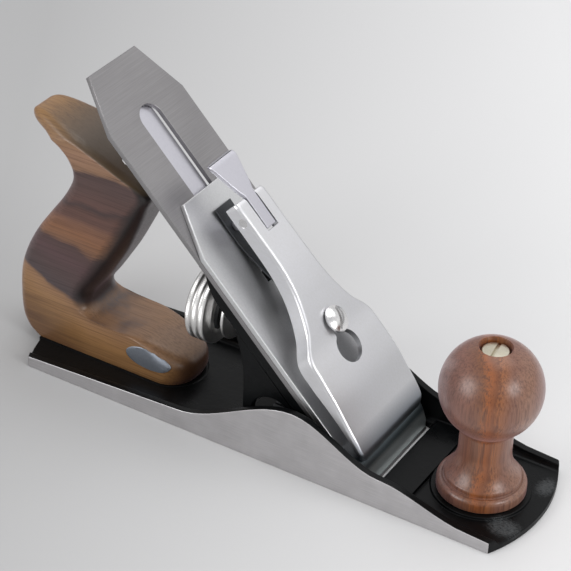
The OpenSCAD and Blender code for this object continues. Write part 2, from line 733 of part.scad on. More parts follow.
module lever_cap() {
    color(bright_steel) on_bed() difference() {
        skin([for (l = cap_stations) cap_section(l)], cap_end);
        translate([keyhole_l, 0, 5]) cylinder(20, r = keyhole_r);
        translate([hold_screw_l + 0.4, 0, 5]) cylinder(20, r = hold_screw_r + 0.5);
        translate([keyhole_l, -hold_screw_r - 0.5, 5]) cube([cap_travel + 0.4, 2 * hold_screw_r + 1, 20]);
        translate([notch_l0, -cam_w / 2 - 0.6, 5]) cube([40, cam_w + 1.2, 20]);
        translate([cam_pin_l, 0, cam_pin_t]) rotate([90, 0, 0]) cylinder(iron_w, r = cam_pin_r, center = true);
        translate([spring_rivet_l, 0, 5])
            cylinder(cap_under(spring_rivet_l) + lever_cap_t / 2 - 5, r = spring_rivet_r);
    }
}

// Leaf spring: it lies against the cap's underside at the rivet and bows down to the cap iron
spring_low_t = iron_t + cap_iron_t + part_gap;
spring_l0 = hold_screw_l + 6.5;
spring_l1 = lever_cap_l1 + 2.5;
spring_rivet_l = spring_l0 + 4;
spring_rivet_r = 1.8;
spring_seat_gap = 0.15;
spring_high_t = cap_under(spring_rivet_l) - spring_t - spring_seat_gap;
function spring_row(place, height) = [mix(spring_l0, spring_l1, place), mix(spring_low_t, spring_high_t, height)];
spring_rows = [
    [spring_l0, cap_under(spring_l0) - spring_t - spring_seat_gap], [spring_rivet_l, spring_high_t],
    [spring_rivet_l + 3.6, spring_high_t - 0.3], spring_row(0.19, 0.82), spring_row(0.255, 0.55),
    spring_row(0.39, 0.3), spring_row(0.505, 0.165), spring_row(0.6, 0.065), spring_row(0.71, 0), spring_row(0.85, 0),
    [spring_l1, spring_low_t + 0.4]];

function cap_under(l) = read(cap_rows, l, 1) - lever_cap_t;
function spring_at(l) = read(spring_rows, l, 1);
function spring_thick(l) = spring_t * norm([1, (spring_at(l + 0.1) - spring_at(l - 0.1)) / 0.2]);

module cap_spring() {
    n = 26;
    ls = [for (i = [0 : n]) mix(spring_l0, spring_l1, i / n)];
    color(bright_steel) on_bed() difference() {
        bed_across(spring_w) polygon(concat(
            [for (l = ls) [l, spring_at(l)]],
            [for (i = [n : -1 : 0])
                [ls[i], spring_at(ls[i]) + (ls[i] < spring_rivet_l ? spring_t : spring_thick(ls[i]))]]));
        translate([spring_rivet_l, 0, 5]) cylinder(20, r = spring_rivet_r);
    }
}

module spring_rivet() {
    head_r = spring_rivet_r + 1.2;
    low = min([for (share = [-1 : 0.5 : 1]) spring_at(spring_rivet_l + share * head_r)]) - 0.05;
    top = cap_under(spring_rivet_l) + lever_cap_t / 2 - 0.2;
    color(bright_steel) on_bed() translate([spring_rivet_l, 0, low]) {
        cylinder(top - low, r = spring_rivet_r);
        translate([0, 0, -1]) cylinder(1, r = head_r);
    }
}

// Cam lever
cam_nose_t = spring_at(cam_pin_l) + spring_t + 0.3;
cam_plate_t = 2.1;

module cam_lever() {
    l0 = cam_pin_l - cam_tail;
    l1 = lever_cap_l1 + thumb_reach;
    top = cam_top_t;
    color(bright_steel) on_bed() difference() {
        intersection() {
            bed_across(2 * thumb_hw + 2) union() {
                polygon([
                    [l0, top - cam_plate_t], [l0, top], [lever_cap_l1, top + 0.1], [l1 - 3, top - 0.8],
                    [l1 - 0.8, top - 1.6], [l1, top - 2.8], [l1 - 0.9, top - 3.3], [l1 - 3.4, top - 2.7],
                    [lever_cap_l1 + 1, top - 2]]);
                polygon([
                    [cam_pin_l - 4.4, top - 1.4], [cam_pin_l + 5, top - 1.4], [cam_pin_l + 4, cam_pin_t - 3],
                    [cam_pin_l + 2, cam_nose_t + 1], [cam_pin_l + 1, cam_nose_t], [cam_pin_l - 1, cam_nose_t],
                    [cam_pin_l - 2.2, cam_nose_t + 1.4], [cam_pin_l - 4, cam_pin_t - 2]]);
            }
            linear_extrude(top + 5) polygon([
                [l0, -cam_w / 2], [lever_cap_l1 + 0.8, -cam_w / 2], [lever_cap_l1 + 4, -cam_w / 2 - 1.5],
                [l1 - 2, -thumb_hw], [l1 - 0.7, -thumb_hw + 0.4], [l1 + 0.2, -thumb_hw + 2.2],
                [l1 + 0.2, thumb_hw - 2.2], [l1 - 0.7, thumb_hw - 0.4], [l1 - 2, thumb_hw],
                [lever_cap_l1 + 4, cam_w / 2 + 1.5], [lever_cap_l1 + 0.8, cam_w / 2], [l0, cam_w / 2]]);
        }
        translate([cam_pin_l, 0, cam_pin_t]) rotate([90, 0, 0])
            cylinder(iron_w, r = cam_pin_r + run_gap, center = true);
    }
}

module cam_pin() {
    color(bright_steel) on_bed() translate([cam_pin_l, 0, cam_pin_t]) rotate([90, 0, 0])
        cylinder(2 * neck_hw - 0.6, r = cam_pin_r, center = true);
}

module lever_cap_screw() {
    dome_r = 9;
    head_t = 3;
    color(bright_steel) on_bed() translate([hold_screw_l, 0, 0]) difference() {
        union() {
            translate([0, 0, -hold_depth]) cylinder(hold_depth + hold_seat_t, r = hold_screw_r);
            intersection() {
                translate([0, 0, hold_seat_t]) cylinder(head_t, r = hold_head_r);
                translate([0, 0, hold_seat_t + head_t - dome_r]) sphere(dome_r);
            }
        }
        translate([-hold_head_r - 1, -0.6, hold_seat_t + head_t - 1.6]) cube([2 * hold_head_r + 2, 1.2, 3]);
    }
}

// Tote
tote_x0 = heel_x + tote_setback;
tote_z0 = sole_t + 0.2;
rod_hold = 2.2;
rod_lean = 18.4;
tote_rod_x = tote_x0 + 8;
tote_nut_h = 100.5;
nut_depth = 10;

// Sections of the tote from its seat up to the tip of its horn: place and height of the back edge, place and height
// of the front edge, then the rounding of the back and of the front edge, as a share of the tote's rounding
tote_rows = [
    [-4, 0, 72.5, 0, 1, 2.4], [-8, 3, 74, 4, 1, 2.4], [-10.4, 7.5, 72.4, 9.8, 1, 2.2], [-11.2, 12, 64, 14.2, 1, 1.6],
    [-11.5, 16.5, 52, 17.6, 1, 1.2], [-11.5, 21, 40, 17.7, 1, 1.1], [-11.4, 26, 29, 18.3, 1, 1.1],
    [-10.8, 31.5, 23.4, 21.4, 1, 1.3], [-9.2, 38, 23.8, 28, 1, 1.6], [-5.8, 46.2, 29.2, 36, 1, 1.9],
    [-1.2, 54.6, 34.6, 44.6, 1, 2], [5.2, 64, 39.6, 53, 1, 2], [10.8, 72, 44, 61.8, 1, 1.9],
    [15, 79.4, 48, 70.6, 1, 1.7], [16.8, 84.6, 51.6, 79, 1, 1.4], [16.7, 89, 54.4, 86, 0.9, 1.1],
    [14.9, 93.2, 50.6, 90.8, 0.8, 0.9], [12.8, 96, 41, 95, 0.7, 0.9], [9.8, 98.3, 30, 99.6, 0.7, 0.9],
    [6.4, 99.8, 19, 104.2, 0.7, 0.9], [2.6, 100.9, 8, 107.6, 0.7, 0.8], [-1.6, 102, -1.2, 109, 0.6, 0.7],
    [-4.8, 103.6, -5.2, 108, 0.35, 0.4], [-6, 105, -6.6, 106.2, 0.1, 0.1]];
tote_drawn_h = 109;

function tote_at(u, k) = read([for (i = [0 : len(tote_rows) - 1]) concat([i], tote_rows[i])], u, k + 1);

// One section of the tote, a rounded rectangle across its thickness
function tote_section(u) = let (
    tall = tote_h / tote_drawn_h, b = [tote_at(u, 0), tote_at(u, 1) * tall], f = [tote_at(u, 2), tote_at(u, 3) * tall],
    w = norm(f - b), d = (f - b) / w, tip = min(1, 0.35 + (len(tote_rows) - 1 - u) * 0.16),
    hy = tote_w / 2 * tip,
    rb = min(tote_edge_r * tote_at(u, 4), 0.46 * w), rf = min(tote_edge_r * tote_at(u, 5), 0.46 * w),
    rby = min(rb, hy - 0.5), rfy = min(rf, hy - 0.5))
    concat(
        [for (a = [0 : 30 : 90]) tote_point(b, d, w - rf + rf * cos(a), hy - rfy + rfy * sin(a))],
        [for (a = [90 : 30 : 180]) tote_point(b, d, rb + rb * cos(a), hy - rby + rby * sin(a))],
        [for (a = [180 : 30 : 270]) tote_point(b, d, rb + rb * cos(a), rby - hy + rby * sin(a))],
        [for (a = [270 : 30 : 360]) tote_point(b, d, w - rf + rf * cos(a), rfy - hy + rfy * sin(a))]);
function tote_point(b, d, w, y) = [tote_x0 + b[0] + d[0] * w, -y, tote_z0 + b[1] + d[1] * w];

module tote_seat_outline() {
    translate([tote_x0, -tote_w / 2 - 1]) square([60, tote_w + 2]);
    translate([tote_x0 + 60, 0]) circle(tote_w / 2 + 1);
}

module tote_rod_place() {
    translate([tote_rod_x, 0, tote_z0]) rotate([0, rod_lean, 0]) children();
}

module tote() {
    color(walnut) difference() {
        skin([for (u = [0 : 0.5 : len(tote_rows) - 1]) tote_section(u)], fan(16));
        tote_rod_place() {
            translate([0, 0, -5]) cylinder(tote_nut_h, r = rod_r + 0.4);
            translate([0, 0, tote_nut_h - nut_depth]) cylinder(tote_h / 2, r = nut_r + 0.2);
        }
    }
}

module tote_rod() {
    color(bright_steel) tote_rod_place()
        translate([0, 0, -rod_hold]) cylinder(rod_hold + tote_nut_h - 4, r = rod_r);
}

module slotted_nut(height) {
    difference() {
        cylinder(height, r = nut_r);
        translate([0, 0, -1]) cylinder(height - 2, r = rod_r);
        translate([-nut_r - 1, -0.7, height - 1.4]) cube([2 * nut_r + 2, 1.4, 3]);
    }
}

module tote_nut() {
    color(bright_steel) tote_rod_place() translate([0, 0, tote_nut_h - nut_depth]) slotted_nut(nut_depth - 2);
}

// Knob
knob_x = toe_x - knob_setback;
knob_z0 = sole_t + 1.2;
knob_cut_h = knob_ball_h + knob_r - 1.2;
knob_nut_h = knob_cut_h - 6.5;

knob_foot_h = 6;
knob_cove_r = 18;
knob_cove_h = 20;
knob_fillet_r = 4;
knob_edge_r = 2.6;

module knob_profile() {
    fillet_x = knob_waist_r + knob_fillet_r;
    reach = knob_r + knob_fillet_r;
    drop = sqrt(reach * reach - fillet_x * fillet_x);
    fillet_z = knob_ball_h - drop;
    side_x = knob_foot_r - knob_edge_r;
    square([side_x, knob_foot_h]);
    square([knob_foot_r, knob_foot_h - knob_edge_r]);
    translate([side_x, knob_foot_h - knob_edge_r]) circle(knob_edge_r);
    difference() {
        square([side_x, knob_ball_h - drop * knob_r / reach]);
        translate([knob_waist_r + knob_cove_r, knob_cove_h]) circle(knob_cove_r, $fn = 180);
        translate([fillet_x, fillet_z]) circle(knob_fillet_r, $fn = 120);
        translate([knob_waist_r, knob_cove_h]) square([knob_foot_r, fillet_z - knob_cove_h]);
    }
    intersection() {
        translate([0, knob_ball_h]) circle(knob_r, $fn = 180);
        translate([0, knob_ball_h - knob_r]) square([knob_r, knob_cut_h - knob_ball_h + knob_r]);
    }
}

module knob() {
    color(walnut_dark) translate([knob_x, 0, knob_z0]) difference() {
        rotate_extrude($fn = 120) knob_profile();
        translate([0, 0, -1]) cylinder(knob_cut_h + 2, r = rod_r + 0.4);
        translate([0, 0, knob_nut_h]) cylinder(knob_cut_h, r = nut_r + 0.9);
    }
}

module knob_rod() {
    color(bright_steel) translate([knob_x, 0, knob_z0 - rod_hold]) cylinder(rod_hold + knob_nut_h + 3, r = rod_r);
}

module knob_nut() {
    color(bright_steel) translate([knob_x, 0, knob_z0 + knob_nut_h]) slotted_nut(5);
}

body();
frog();
frog_screw_near();
frog_screw_far();
frog_washer_near();
frog_washer_far();
depth_stud();
depth_wheel();
yoke();
yoke_pin();
lateral_lever();
lateral_roller();
lateral_rivet();
iron();
cap_iron();
cap_iron_screw();
lever_cap();
cam_lever();
cam_pin();
cap_spring();
spring_rivet();
lever_cap_screw();
tote();
tote_rod();
tote_nut();
knob();
knob_rod();
knob_nut();
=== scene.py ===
"""Looks of a metal smoothing plane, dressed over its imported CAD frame.

Sizes inside the classes are millimetres in the frame of the part: X to the toe, Y to the far side, Z up. A piece is
turned to metres when it is handed to the scene.
"""

import logging
import math
from dataclasses import dataclass, field
from enum import Enum
from typing import Any, Callable, Iterable, Optional, Sequence, Union

import bmesh
import bpy
from mathutils import Matrix, Vector
from mathutils.bvhtree import BVHTree


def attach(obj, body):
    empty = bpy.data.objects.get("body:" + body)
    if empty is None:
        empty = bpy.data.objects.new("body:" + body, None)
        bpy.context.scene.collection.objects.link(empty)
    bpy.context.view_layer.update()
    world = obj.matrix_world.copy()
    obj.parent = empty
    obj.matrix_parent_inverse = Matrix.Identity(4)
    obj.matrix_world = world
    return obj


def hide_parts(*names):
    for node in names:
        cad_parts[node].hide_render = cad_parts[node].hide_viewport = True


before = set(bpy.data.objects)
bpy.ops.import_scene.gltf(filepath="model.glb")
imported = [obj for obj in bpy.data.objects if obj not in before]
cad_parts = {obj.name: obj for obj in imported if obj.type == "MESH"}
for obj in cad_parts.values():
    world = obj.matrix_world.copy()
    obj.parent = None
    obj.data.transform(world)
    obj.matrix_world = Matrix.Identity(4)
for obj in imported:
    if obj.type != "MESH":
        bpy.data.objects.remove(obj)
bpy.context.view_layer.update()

LOG = logging.getLogger("smoothing_plane")
MM = 0.001
IMAGE_SIDE = 571
SHARP_EDGE = math.radians(32)
Point = tuple[float, float, float]
Rgba = tuple[float, float, float, float]
Input = Union[float, Sequence[float], bpy.types.NodeSocket]


class Slot(Enum):
    """Material slots of the part's record."""

    ENAMEL = "black_enamel"
    IRON = "ground_iron"
    STEEL = "steel"
    NICKEL = "nickel"
    WOOD = "walnut"


def linear(hex_colour: str) -> Rgba:
    """Turns an sRGB colour into the linear one that shaders take.

    Args:
        hex_colour: Colour as six hex digits, with or without a leading hash.

    Returns:
        Linear red, green, blue and an alpha of 1.
    """
    digits = hex_colour.lstrip("#")
    parts = [int(digits[i : i + 2], 16) / 255 for i in (0, 2, 4)]
    red, green, blue = [c / 12.92 if c <= 0.04045 else ((c + 0.055) / 1.055) ** 2.4 for c in parts]
    return (red, green, blue, 1.0)


def add_node(
    tree: bpy.types.NodeTree,
    kind: str,
    inputs: Optional[dict[Union[str, int], Input]] = None,
    stops: Optional[Sequence[tuple[float, str]]] = None,
    **settings: Any,
) -> bpy.types.Node:
    """Adds a node with its settings, its values and its links.

    Args:
        tree: Node tree that the node goes into.
        kind: Blender's name of the node type.
        inputs: Values or linked sockets by input name or number.
        stops: Places and hex colours of a colour ramp.
        **settings: Attributes of the node.

    Returns:
        The new node.
    """
    node = tree.nodes.new(kind)
    for name, value in settings.items():
        setattr(node, name, value)
    for key, value in (inputs or {}).items():
        if isinstance(value, bpy.types.NodeSocket):
            tree.links.new(value, node.inputs[key])
        else:
            node.inputs[key].default_value = value
    if stops:
        elements = node.color_ramp.elements
        while len(elements) > 1:
            elements.remove(elements[-1])
        elements[0].position, elements[0].color = stops[0][0], linear(stops[0][1])
        for place, colour in stops[1:]:
            elements.new(place).color = linear(colour)
    return node


@dataclass(frozen=True)
class Bed:
    """The sloped bed of the frog, that carries the cutter."""

    foot_x: float = 49.4
    angle: float = math.radians(45)

    def matrix(self) -> Matrix:
        """Places the bed's own axes.

        Returns:
            The matrix from bed places (along, across, above) to the part's frame.
        """
        s, c = math.sin(self.angle), math.cos(self.angle)
        turn = Matrix(((-c, 0, s), (0, -1, 0), (s, 0, c)))
        return Matrix.Translation((self.foot_x, 0, 0)) @ turn.to_4x4()


BED = Bed()


# Mesh work


class Work:
    """A piece in the making: a bmesh in millimetres and the operators that shape it."""

    weld = 0.004
    flat = math.radians(0.6)

    def __init__(self) -> None:
        """Starts with nothing."""
        self.bm = bmesh.new()

    @classmethod
    def from_node(cls, node: str) -> "Work":
        """Starts from a merged copy of a CAD node.

        Args:
            node: Name of the CAD node.

        Returns:
            The copy, with its flat faces whole again.
        """
        work = cls()
        work.bm.from_mesh(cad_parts[node].data)
        work.bm.transform(Matrix.Scale(1 / MM, 4))
        bmesh.ops.remove_doubles(work.bm, verts=work.bm.verts, dist=cls.weld)
        bmesh.ops.dissolve_limit(
            work.bm, angle_limit=cls.flat, verts=work.bm.verts, edges=work.bm.edges, delimit={"NORMAL"}
        )
        return work

    def grow(self, edges: list[bmesh.types.BMEdge], ring: list[bmesh.types.BMVert], places: Sequence[Point]) -> tuple:
        """Extrudes an open ring and sets the new ring to its places.

        Args:
            edges: Edges of the ring.
            ring: Vertices of the ring, in order.
            places: Place of each vertex of the new ring.

        Returns:
            Edges and vertices of the new ring.
        """
        made = bmesh.ops.extrude_edge_only(self.bm, edges=edges)["geom"]
        new = {v for v in made if isinstance(v, bmesh.types.BMVert)}
        edges = [e for e in made if isinstance(e, bmesh.types.BMEdge) and e.verts[0] in new and e.verts[1] in new]
        ring = [next(e.other_vert(v) for e in v.link_edges if e.other_vert(v) in new) for v in ring]
        for vert, place in zip(ring, places):
            vert.co = place
        return edges, ring

    def loft(self, sections: Sequence[Sequence[Point]], closed: bool = False) -> None:
        """Runs a skin through sections that have the same number of points.

        Args:
            sections: Rings of places, one after the other.
            closed: Joins the last ring to the first instead of closing both ends.
        """
        ring = bmesh.ops.create_circle(self.bm, segments=len(sections[0]), radius=1)["verts"]
        edges = list({e for v in ring for e in v.link_edges})
        for vert, place in zip(ring, sections[0]):
            vert.co = place
        first = list(edges)
        for section in sections[1:]:
            edges, ring = self.grow(edges, ring, section)
        if closed:
            bmesh.ops.bridge_loops(self.bm, edges=first + edges)
        else:
            bmesh.ops.contextual_create(self.bm, geom=first)
            bmesh.ops.contextual_create(self.bm, geom=edges)
        bmesh.ops.recalc_face_normals(self.bm, faces=self.bm.faces)

    def turn(self, profile: Sequence[tuple[float, float]], steps: int) -> None:
        """Turns a profile of radius and height into a solid of revolution about Z.

        Args:
            profile: Radius and height of each point, from one end of the axis to the other.
            steps: Number of steps of the full turn.
        """
        verts = [self.bm.verts.new((radius, 0, height)) for radius, height in profile]
        edges = [self.bm.edges.new(pair) for pair in zip(verts, verts[1:])]
        bmesh.ops.spin(
            self.bm, geom=verts + edges, cent=(0, 0, 0), axis=(0, 0, 1), dvec=(0, 0, 0), angle=math.tau,
            steps=steps, use_merge=True, use_duplicate=False,
        )
        bmesh.ops.remove_doubles(self.bm, verts=self.bm.verts, dist=0.0005)
        bmesh.ops.recalc_face_normals(self.bm, faces=self.bm.faces)

    def block(self, low: Point, high: Point) -> None:
        """Adds a box.

        Args:
            low: Its corner with the least places.
            high: Its corner with the greatest places.
        """
        centre = [(a + b) / 2 for a, b in zip(low, high)]
        size = [b - a for a, b in zip(low, high)]
        matrix = Matrix.Translation(centre) @ Matrix.Diagonal((*size, 1))
        bmesh.ops.create_cube(self.bm, size=1, matrix=matrix)

    def rod(self, start: Point, axis: Point, length: float, radius: float, steps: int = 48) -> None:
        """Adds a closed cylinder.

        Args:
            start: Middle of its first end.
            axis: Direction to its other end.
            length: Length in millimetres.
            radius: Radius in millimetres.
            steps: Number of sides.
        """
        way = Vector(axis).normalized()
        matrix = Matrix.Translation(Vector(start) + way * length / 2) @ way.to_track_quat("Z", "Y").to_matrix().to_4x4()
        bmesh.ops.create_cone(
            self.bm, cap_ends=True, segments=steps, radius1=radius, radius2=radius, depth=length, matrix=matrix
        )

    def move(self, matrix: Matrix) -> None:
        """Moves the whole piece by a matrix."""
        self.bm.transform(matrix)

    def cut(self, tool: "Work") -> None:
        """Takes the tool's shape out of this piece.

        Args:
            tool: Closed shape that is taken away and used up.
        """
        objects = []
        for work in (self, tool):
            mesh = bpy.data.meshes.new("cutting")
            work.bm.to_mesh(mesh)
            item = bpy.data.objects.new("cutting", mesh)
            bpy.context.scene.collection.objects.link(item)
            objects.append(item)
        modifier = objects[0].modifiers.new("cut", "BOOLEAN")
        modifier.operation, modifier.solver, modifier.object = "DIFFERENCE", "EXACT", objects[1]
        bpy.context.view_layer.update()
        done = objects[0].evaluated_get(bpy.context.evaluated_depsgraph_get()).to_mesh()
        self.bm.clear()
        self.bm.from_mesh(done)
        tool.bm.free()
        for item in objects:
            mesh = item.data
            bpy.data.objects.remove(item)
            bpy.data.meshes.remove(mesh)

    def soften(self, width: float, segments: int = 2) -> None:
        """Bevels the edges whose two faces meet at more than SHARP_EDGE.

        Args:
            width: Width of the bevel in millimetres.
            segments: Number of bevel segments.
        """
        edges = [e for e in self.bm.edges if len(e.link_faces) == 2 and e.calc_face_angle(0) > SHARP_EDGE]
        bmesh.ops.bevel(
            self.bm, geom=edges, offset=width, offset_type="OFFSET", segments=segments, profile=0.5,
            affect="EDGES", clamp_overlap=False, material=-1,
        )

    def paint(self, index: int, where: Callable[[bmesh.types.BMFace], bool]) -> None:
        """Gives the faces that pass a test another material.

        Args:
            index: Number of the material.
            where: Test of a face.
        """
        self.bm.normal_update()
        for face in self.bm.faces:
            if where(face):
                face.material_index = index

    def piece(
        self,
        name: str,
        body: str,
        slot: Slot,
        materials: Iterable[bpy.types.Material],
        stands_for: Sequence[str] = (),
        sharp: float = 42,
    ) -> bpy.types.Object:
        """Hands the piece to the scene.

        Args:
            name: Name of the new object.
            body: CAD body that it rides on.
            slot: Material slot of the record; not used.
            materials: Materials in the order of the faces' numbers.
            stands_for: CAD nodes that it replaces.
            sharp: Angle in degrees above which an edge is shaded sharp.

        Returns:
            The new object.
        """
        self.bm.transform(Matrix.Scale(MM, 4))
        mesh = bpy.data.meshes.new(name)
        self.bm.to_mesh(mesh)
        self.bm.free()
        for material in materials:
            mesh.materials.append(material)
        mesh.shade_smooth()
        mesh.set_sharp_from_angle(angle=math.radians(sharp))
        item = bpy.data.objects.new(name, mesh)
        bpy.context.scene.collection.objects.link(item)
        weighted = item.modifiers.new("flat faces stay flat", "WEIGHTED_NORMAL")
        weighted.keep_sharp, weighted.weight = True, 60
        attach(item, body)
        if stands_for:
            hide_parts(*stands_for)
        LOG.info("%s: %d faces on %s", name, len(mesh.polygons), body)
        return item


def dress(node: str, material: bpy.types.Material) -> None:
    """Gives a CAD node that stays as it is its material.

    Args:
        node: Name of the CAD node.
        material: Its material.
    """
    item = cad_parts[node]
    item.data.materials.clear()
    item.data.materials.append(material)
    LOG.info("%s: CAD node dressed", node)


def smooth_read(rows: Sequence[Sequence[float]], place: float, column: int) -> float:
    """Reads a column of a list of rows smoothly between its rows.

    Args:
        rows: Rows whose first value is the place.
        place: Where to read.
        column: Column to read.

    Returns:
        The value of a cubic through the rows.
    """
    def slope(i: int) -> float:
        """Finds the slope of the column at one row.

        Args:
            i: Number of the row.

        Returns:
            The slope there.
        """
        low, high = rows[max(i - 1, 0)], rows[min(i + 1, len(rows) - 1)]
        return (high[column] - low[column]) / (high[0] - low[0])

    i = max(n for n in range(len(rows) - 1) if n == 0 or rows[n][0] <= place)
    span = rows[i + 1][0] - rows[i][0]
    u = (place - rows[i][0]) / span
    v = 1 - u
    return (
        rows[i][column] * v * v * (1 + 2 * u) + rows[i + 1][column] * u * u * (3 - 2 * u)
        + span * u * v * (v * slope(i) - u * slope(i + 1))
    )


def arc(centre: tuple[float, float], radius: float, start: float, stop: float, steps: int) -> list[tuple[float, float]]:
    """Points of an arc in a plane.

    Args:
        centre: Centre of the arc.
        radius: Radius of the arc.
        start: First angle in degrees.
        stop: Last angle in degrees.
        steps: Number of steps between them.

    Returns:
        The points, one more than the steps.
    """
    angles = [math.radians(start + (stop - start) * i / steps) for i in range(steps + 1)]
    return [(centre[0] + radius * math.cos(a), centre[1] + radius * math.sin(a)) for a in angles]


# Finishes


@dataclass(frozen=True)
class MetalFinish:
    """A bare or plated metal with its grinding lines, its cloudiness, its fine bump and, where given, painted shade
    along the bed.
    """

    name: str
    tint: str
    cloud_tint: str
    roughness: float
    roughness_spread: float
    line_mm: Point
    cloud_mm: float = 18.0
    line_depth: float = 0.12
    turn: Point = (0.0, 0.0, 0.0)
    # Painted shade along the bed: places from the mouth and the tints that darken the metal there
    shade_and_tone: tuple[tuple[float, str], ...] = ()
    shade_reach: float = 30.0

    def build(self) -> bpy.types.Material:
        """Builds the material.

        Returns:
            A metal whose lines are as long and as fine as line_mm says, along the turned axes, and which is darkened by
            painted shade at the places along the bed that its shade rows give.
        """
        material = bpy.data.materials.new(self.name)
        material.use_nodes = True
        tree = material.node_tree
        shader = tree.nodes["Principled BSDF"]
        shader.inputs["Metallic"].default_value = 1.0
        place = add_node(tree, "ShaderNodeTexCoord")
        turned = add_node(
            tree, "ShaderNodeMapping", {"Vector": place.outputs["Object"], "Rotation": self.turn}
        )
        stretched = add_node(
            tree, "ShaderNodeMapping",
            {"Vector": turned.outputs[0], "Scale": tuple(1 / (MM * size) for size in self.line_mm)},
        )
        lines = add_node(
            tree, "ShaderNodeTexNoise", {"Vector": stretched.outputs[0], "Scale": 1.0, "Detail": 4.0, "Roughness": 0.6}
        )
        clouds = add_node(
            tree, "ShaderNodeTexNoise",
            {"Vector": place.outputs["Object"], "Scale": 1 / (MM * self.cloud_mm), "Detail": 3.0},
        )
        both = add_node(
            tree, "ShaderNodeMix", {"Factor": 0.45, "A": lines.outputs["Fac"], "B": clouds.outputs["Fac"]}
        )
        tint = add_node(
            tree, "ShaderNodeValToRGB", {"Fac": both.outputs["Result"]},
            stops=((0.3, self.cloud_tint), (0.68, self.tint)),
        )
        rough = add_node(
            tree, "ShaderNodeMapRange",
            {
                "Value": both.outputs["Result"], "From Min": 0.3, "From Max": 0.7,
                "To Min": self.roughness + self.roughness_spread, "To Max": self.roughness - self.roughness_spread,
            },
        )
        bump = add_node(
            tree, "ShaderNodeBump",
            {"Height": lines.outputs["Fac"], "Strength": self.line_depth, "Distance": 0.05 * MM},
        )
        colour = tint.outputs["Color"]
        # Painted shade towards the mouth, multiplied into the colour
        if self.shade_and_tone:
            colour = self.darker(tree, place, colour)
        tree.links.new(colour, shader.inputs["Base Color"])
        tree.links.new(rough.outputs["Result"], shader.inputs["Roughness"])
        tree.links.new(bump.outputs["Normal"], shader.inputs["Normal"])
        return material

    def darker(
        self, tree: bpy.types.NodeTree, place: bpy.types.Node, colour: bpy.types.NodeSocket
    ) -> bpy.types.NodeSocket:
        """Paints shade over the end by the mouth, where the lever cap's end curves down and the cap iron lies under it
        in shade.

        Args:
            tree: Node tree of the material.
            place: Texture coordinates.
            colour: Colour so far.

        Returns:
            The colour times the painted shade, which changes along the bed.
        """
        low, high = (place_l * math.sqrt(2) - BED.foot_x for place_l in (0.0, self.shade_reach))
        axes = add_node(tree, "ShaderNodeSeparateXYZ", {"Vector": place.outputs["Object"]})
        along = add_node(tree, "ShaderNodeMath", {0: axes.outputs["Z"], 1: axes.outputs["X"]}, operation="SUBTRACT")
        share = add_node(
            tree, "ShaderNodeMapRange", {"Value": along.outputs[0], "From Min": low * MM, "From Max": high * MM}
        )
        ramp = add_node(
            tree, "ShaderNodeValToRGB", {"Fac": share.outputs["Result"]},
            stops=tuple((place_l / self.shade_reach, tint) for place_l, tint in self.shade_and_tone),
        )
        return add_node(
            tree, "ShaderNodeMix", {"Factor": 1.0, "A": colour, "B": ramp.outputs["Color"]},
            data_type="RGBA", blend_type="MULTIPLY",
        ).outputs["Result"]


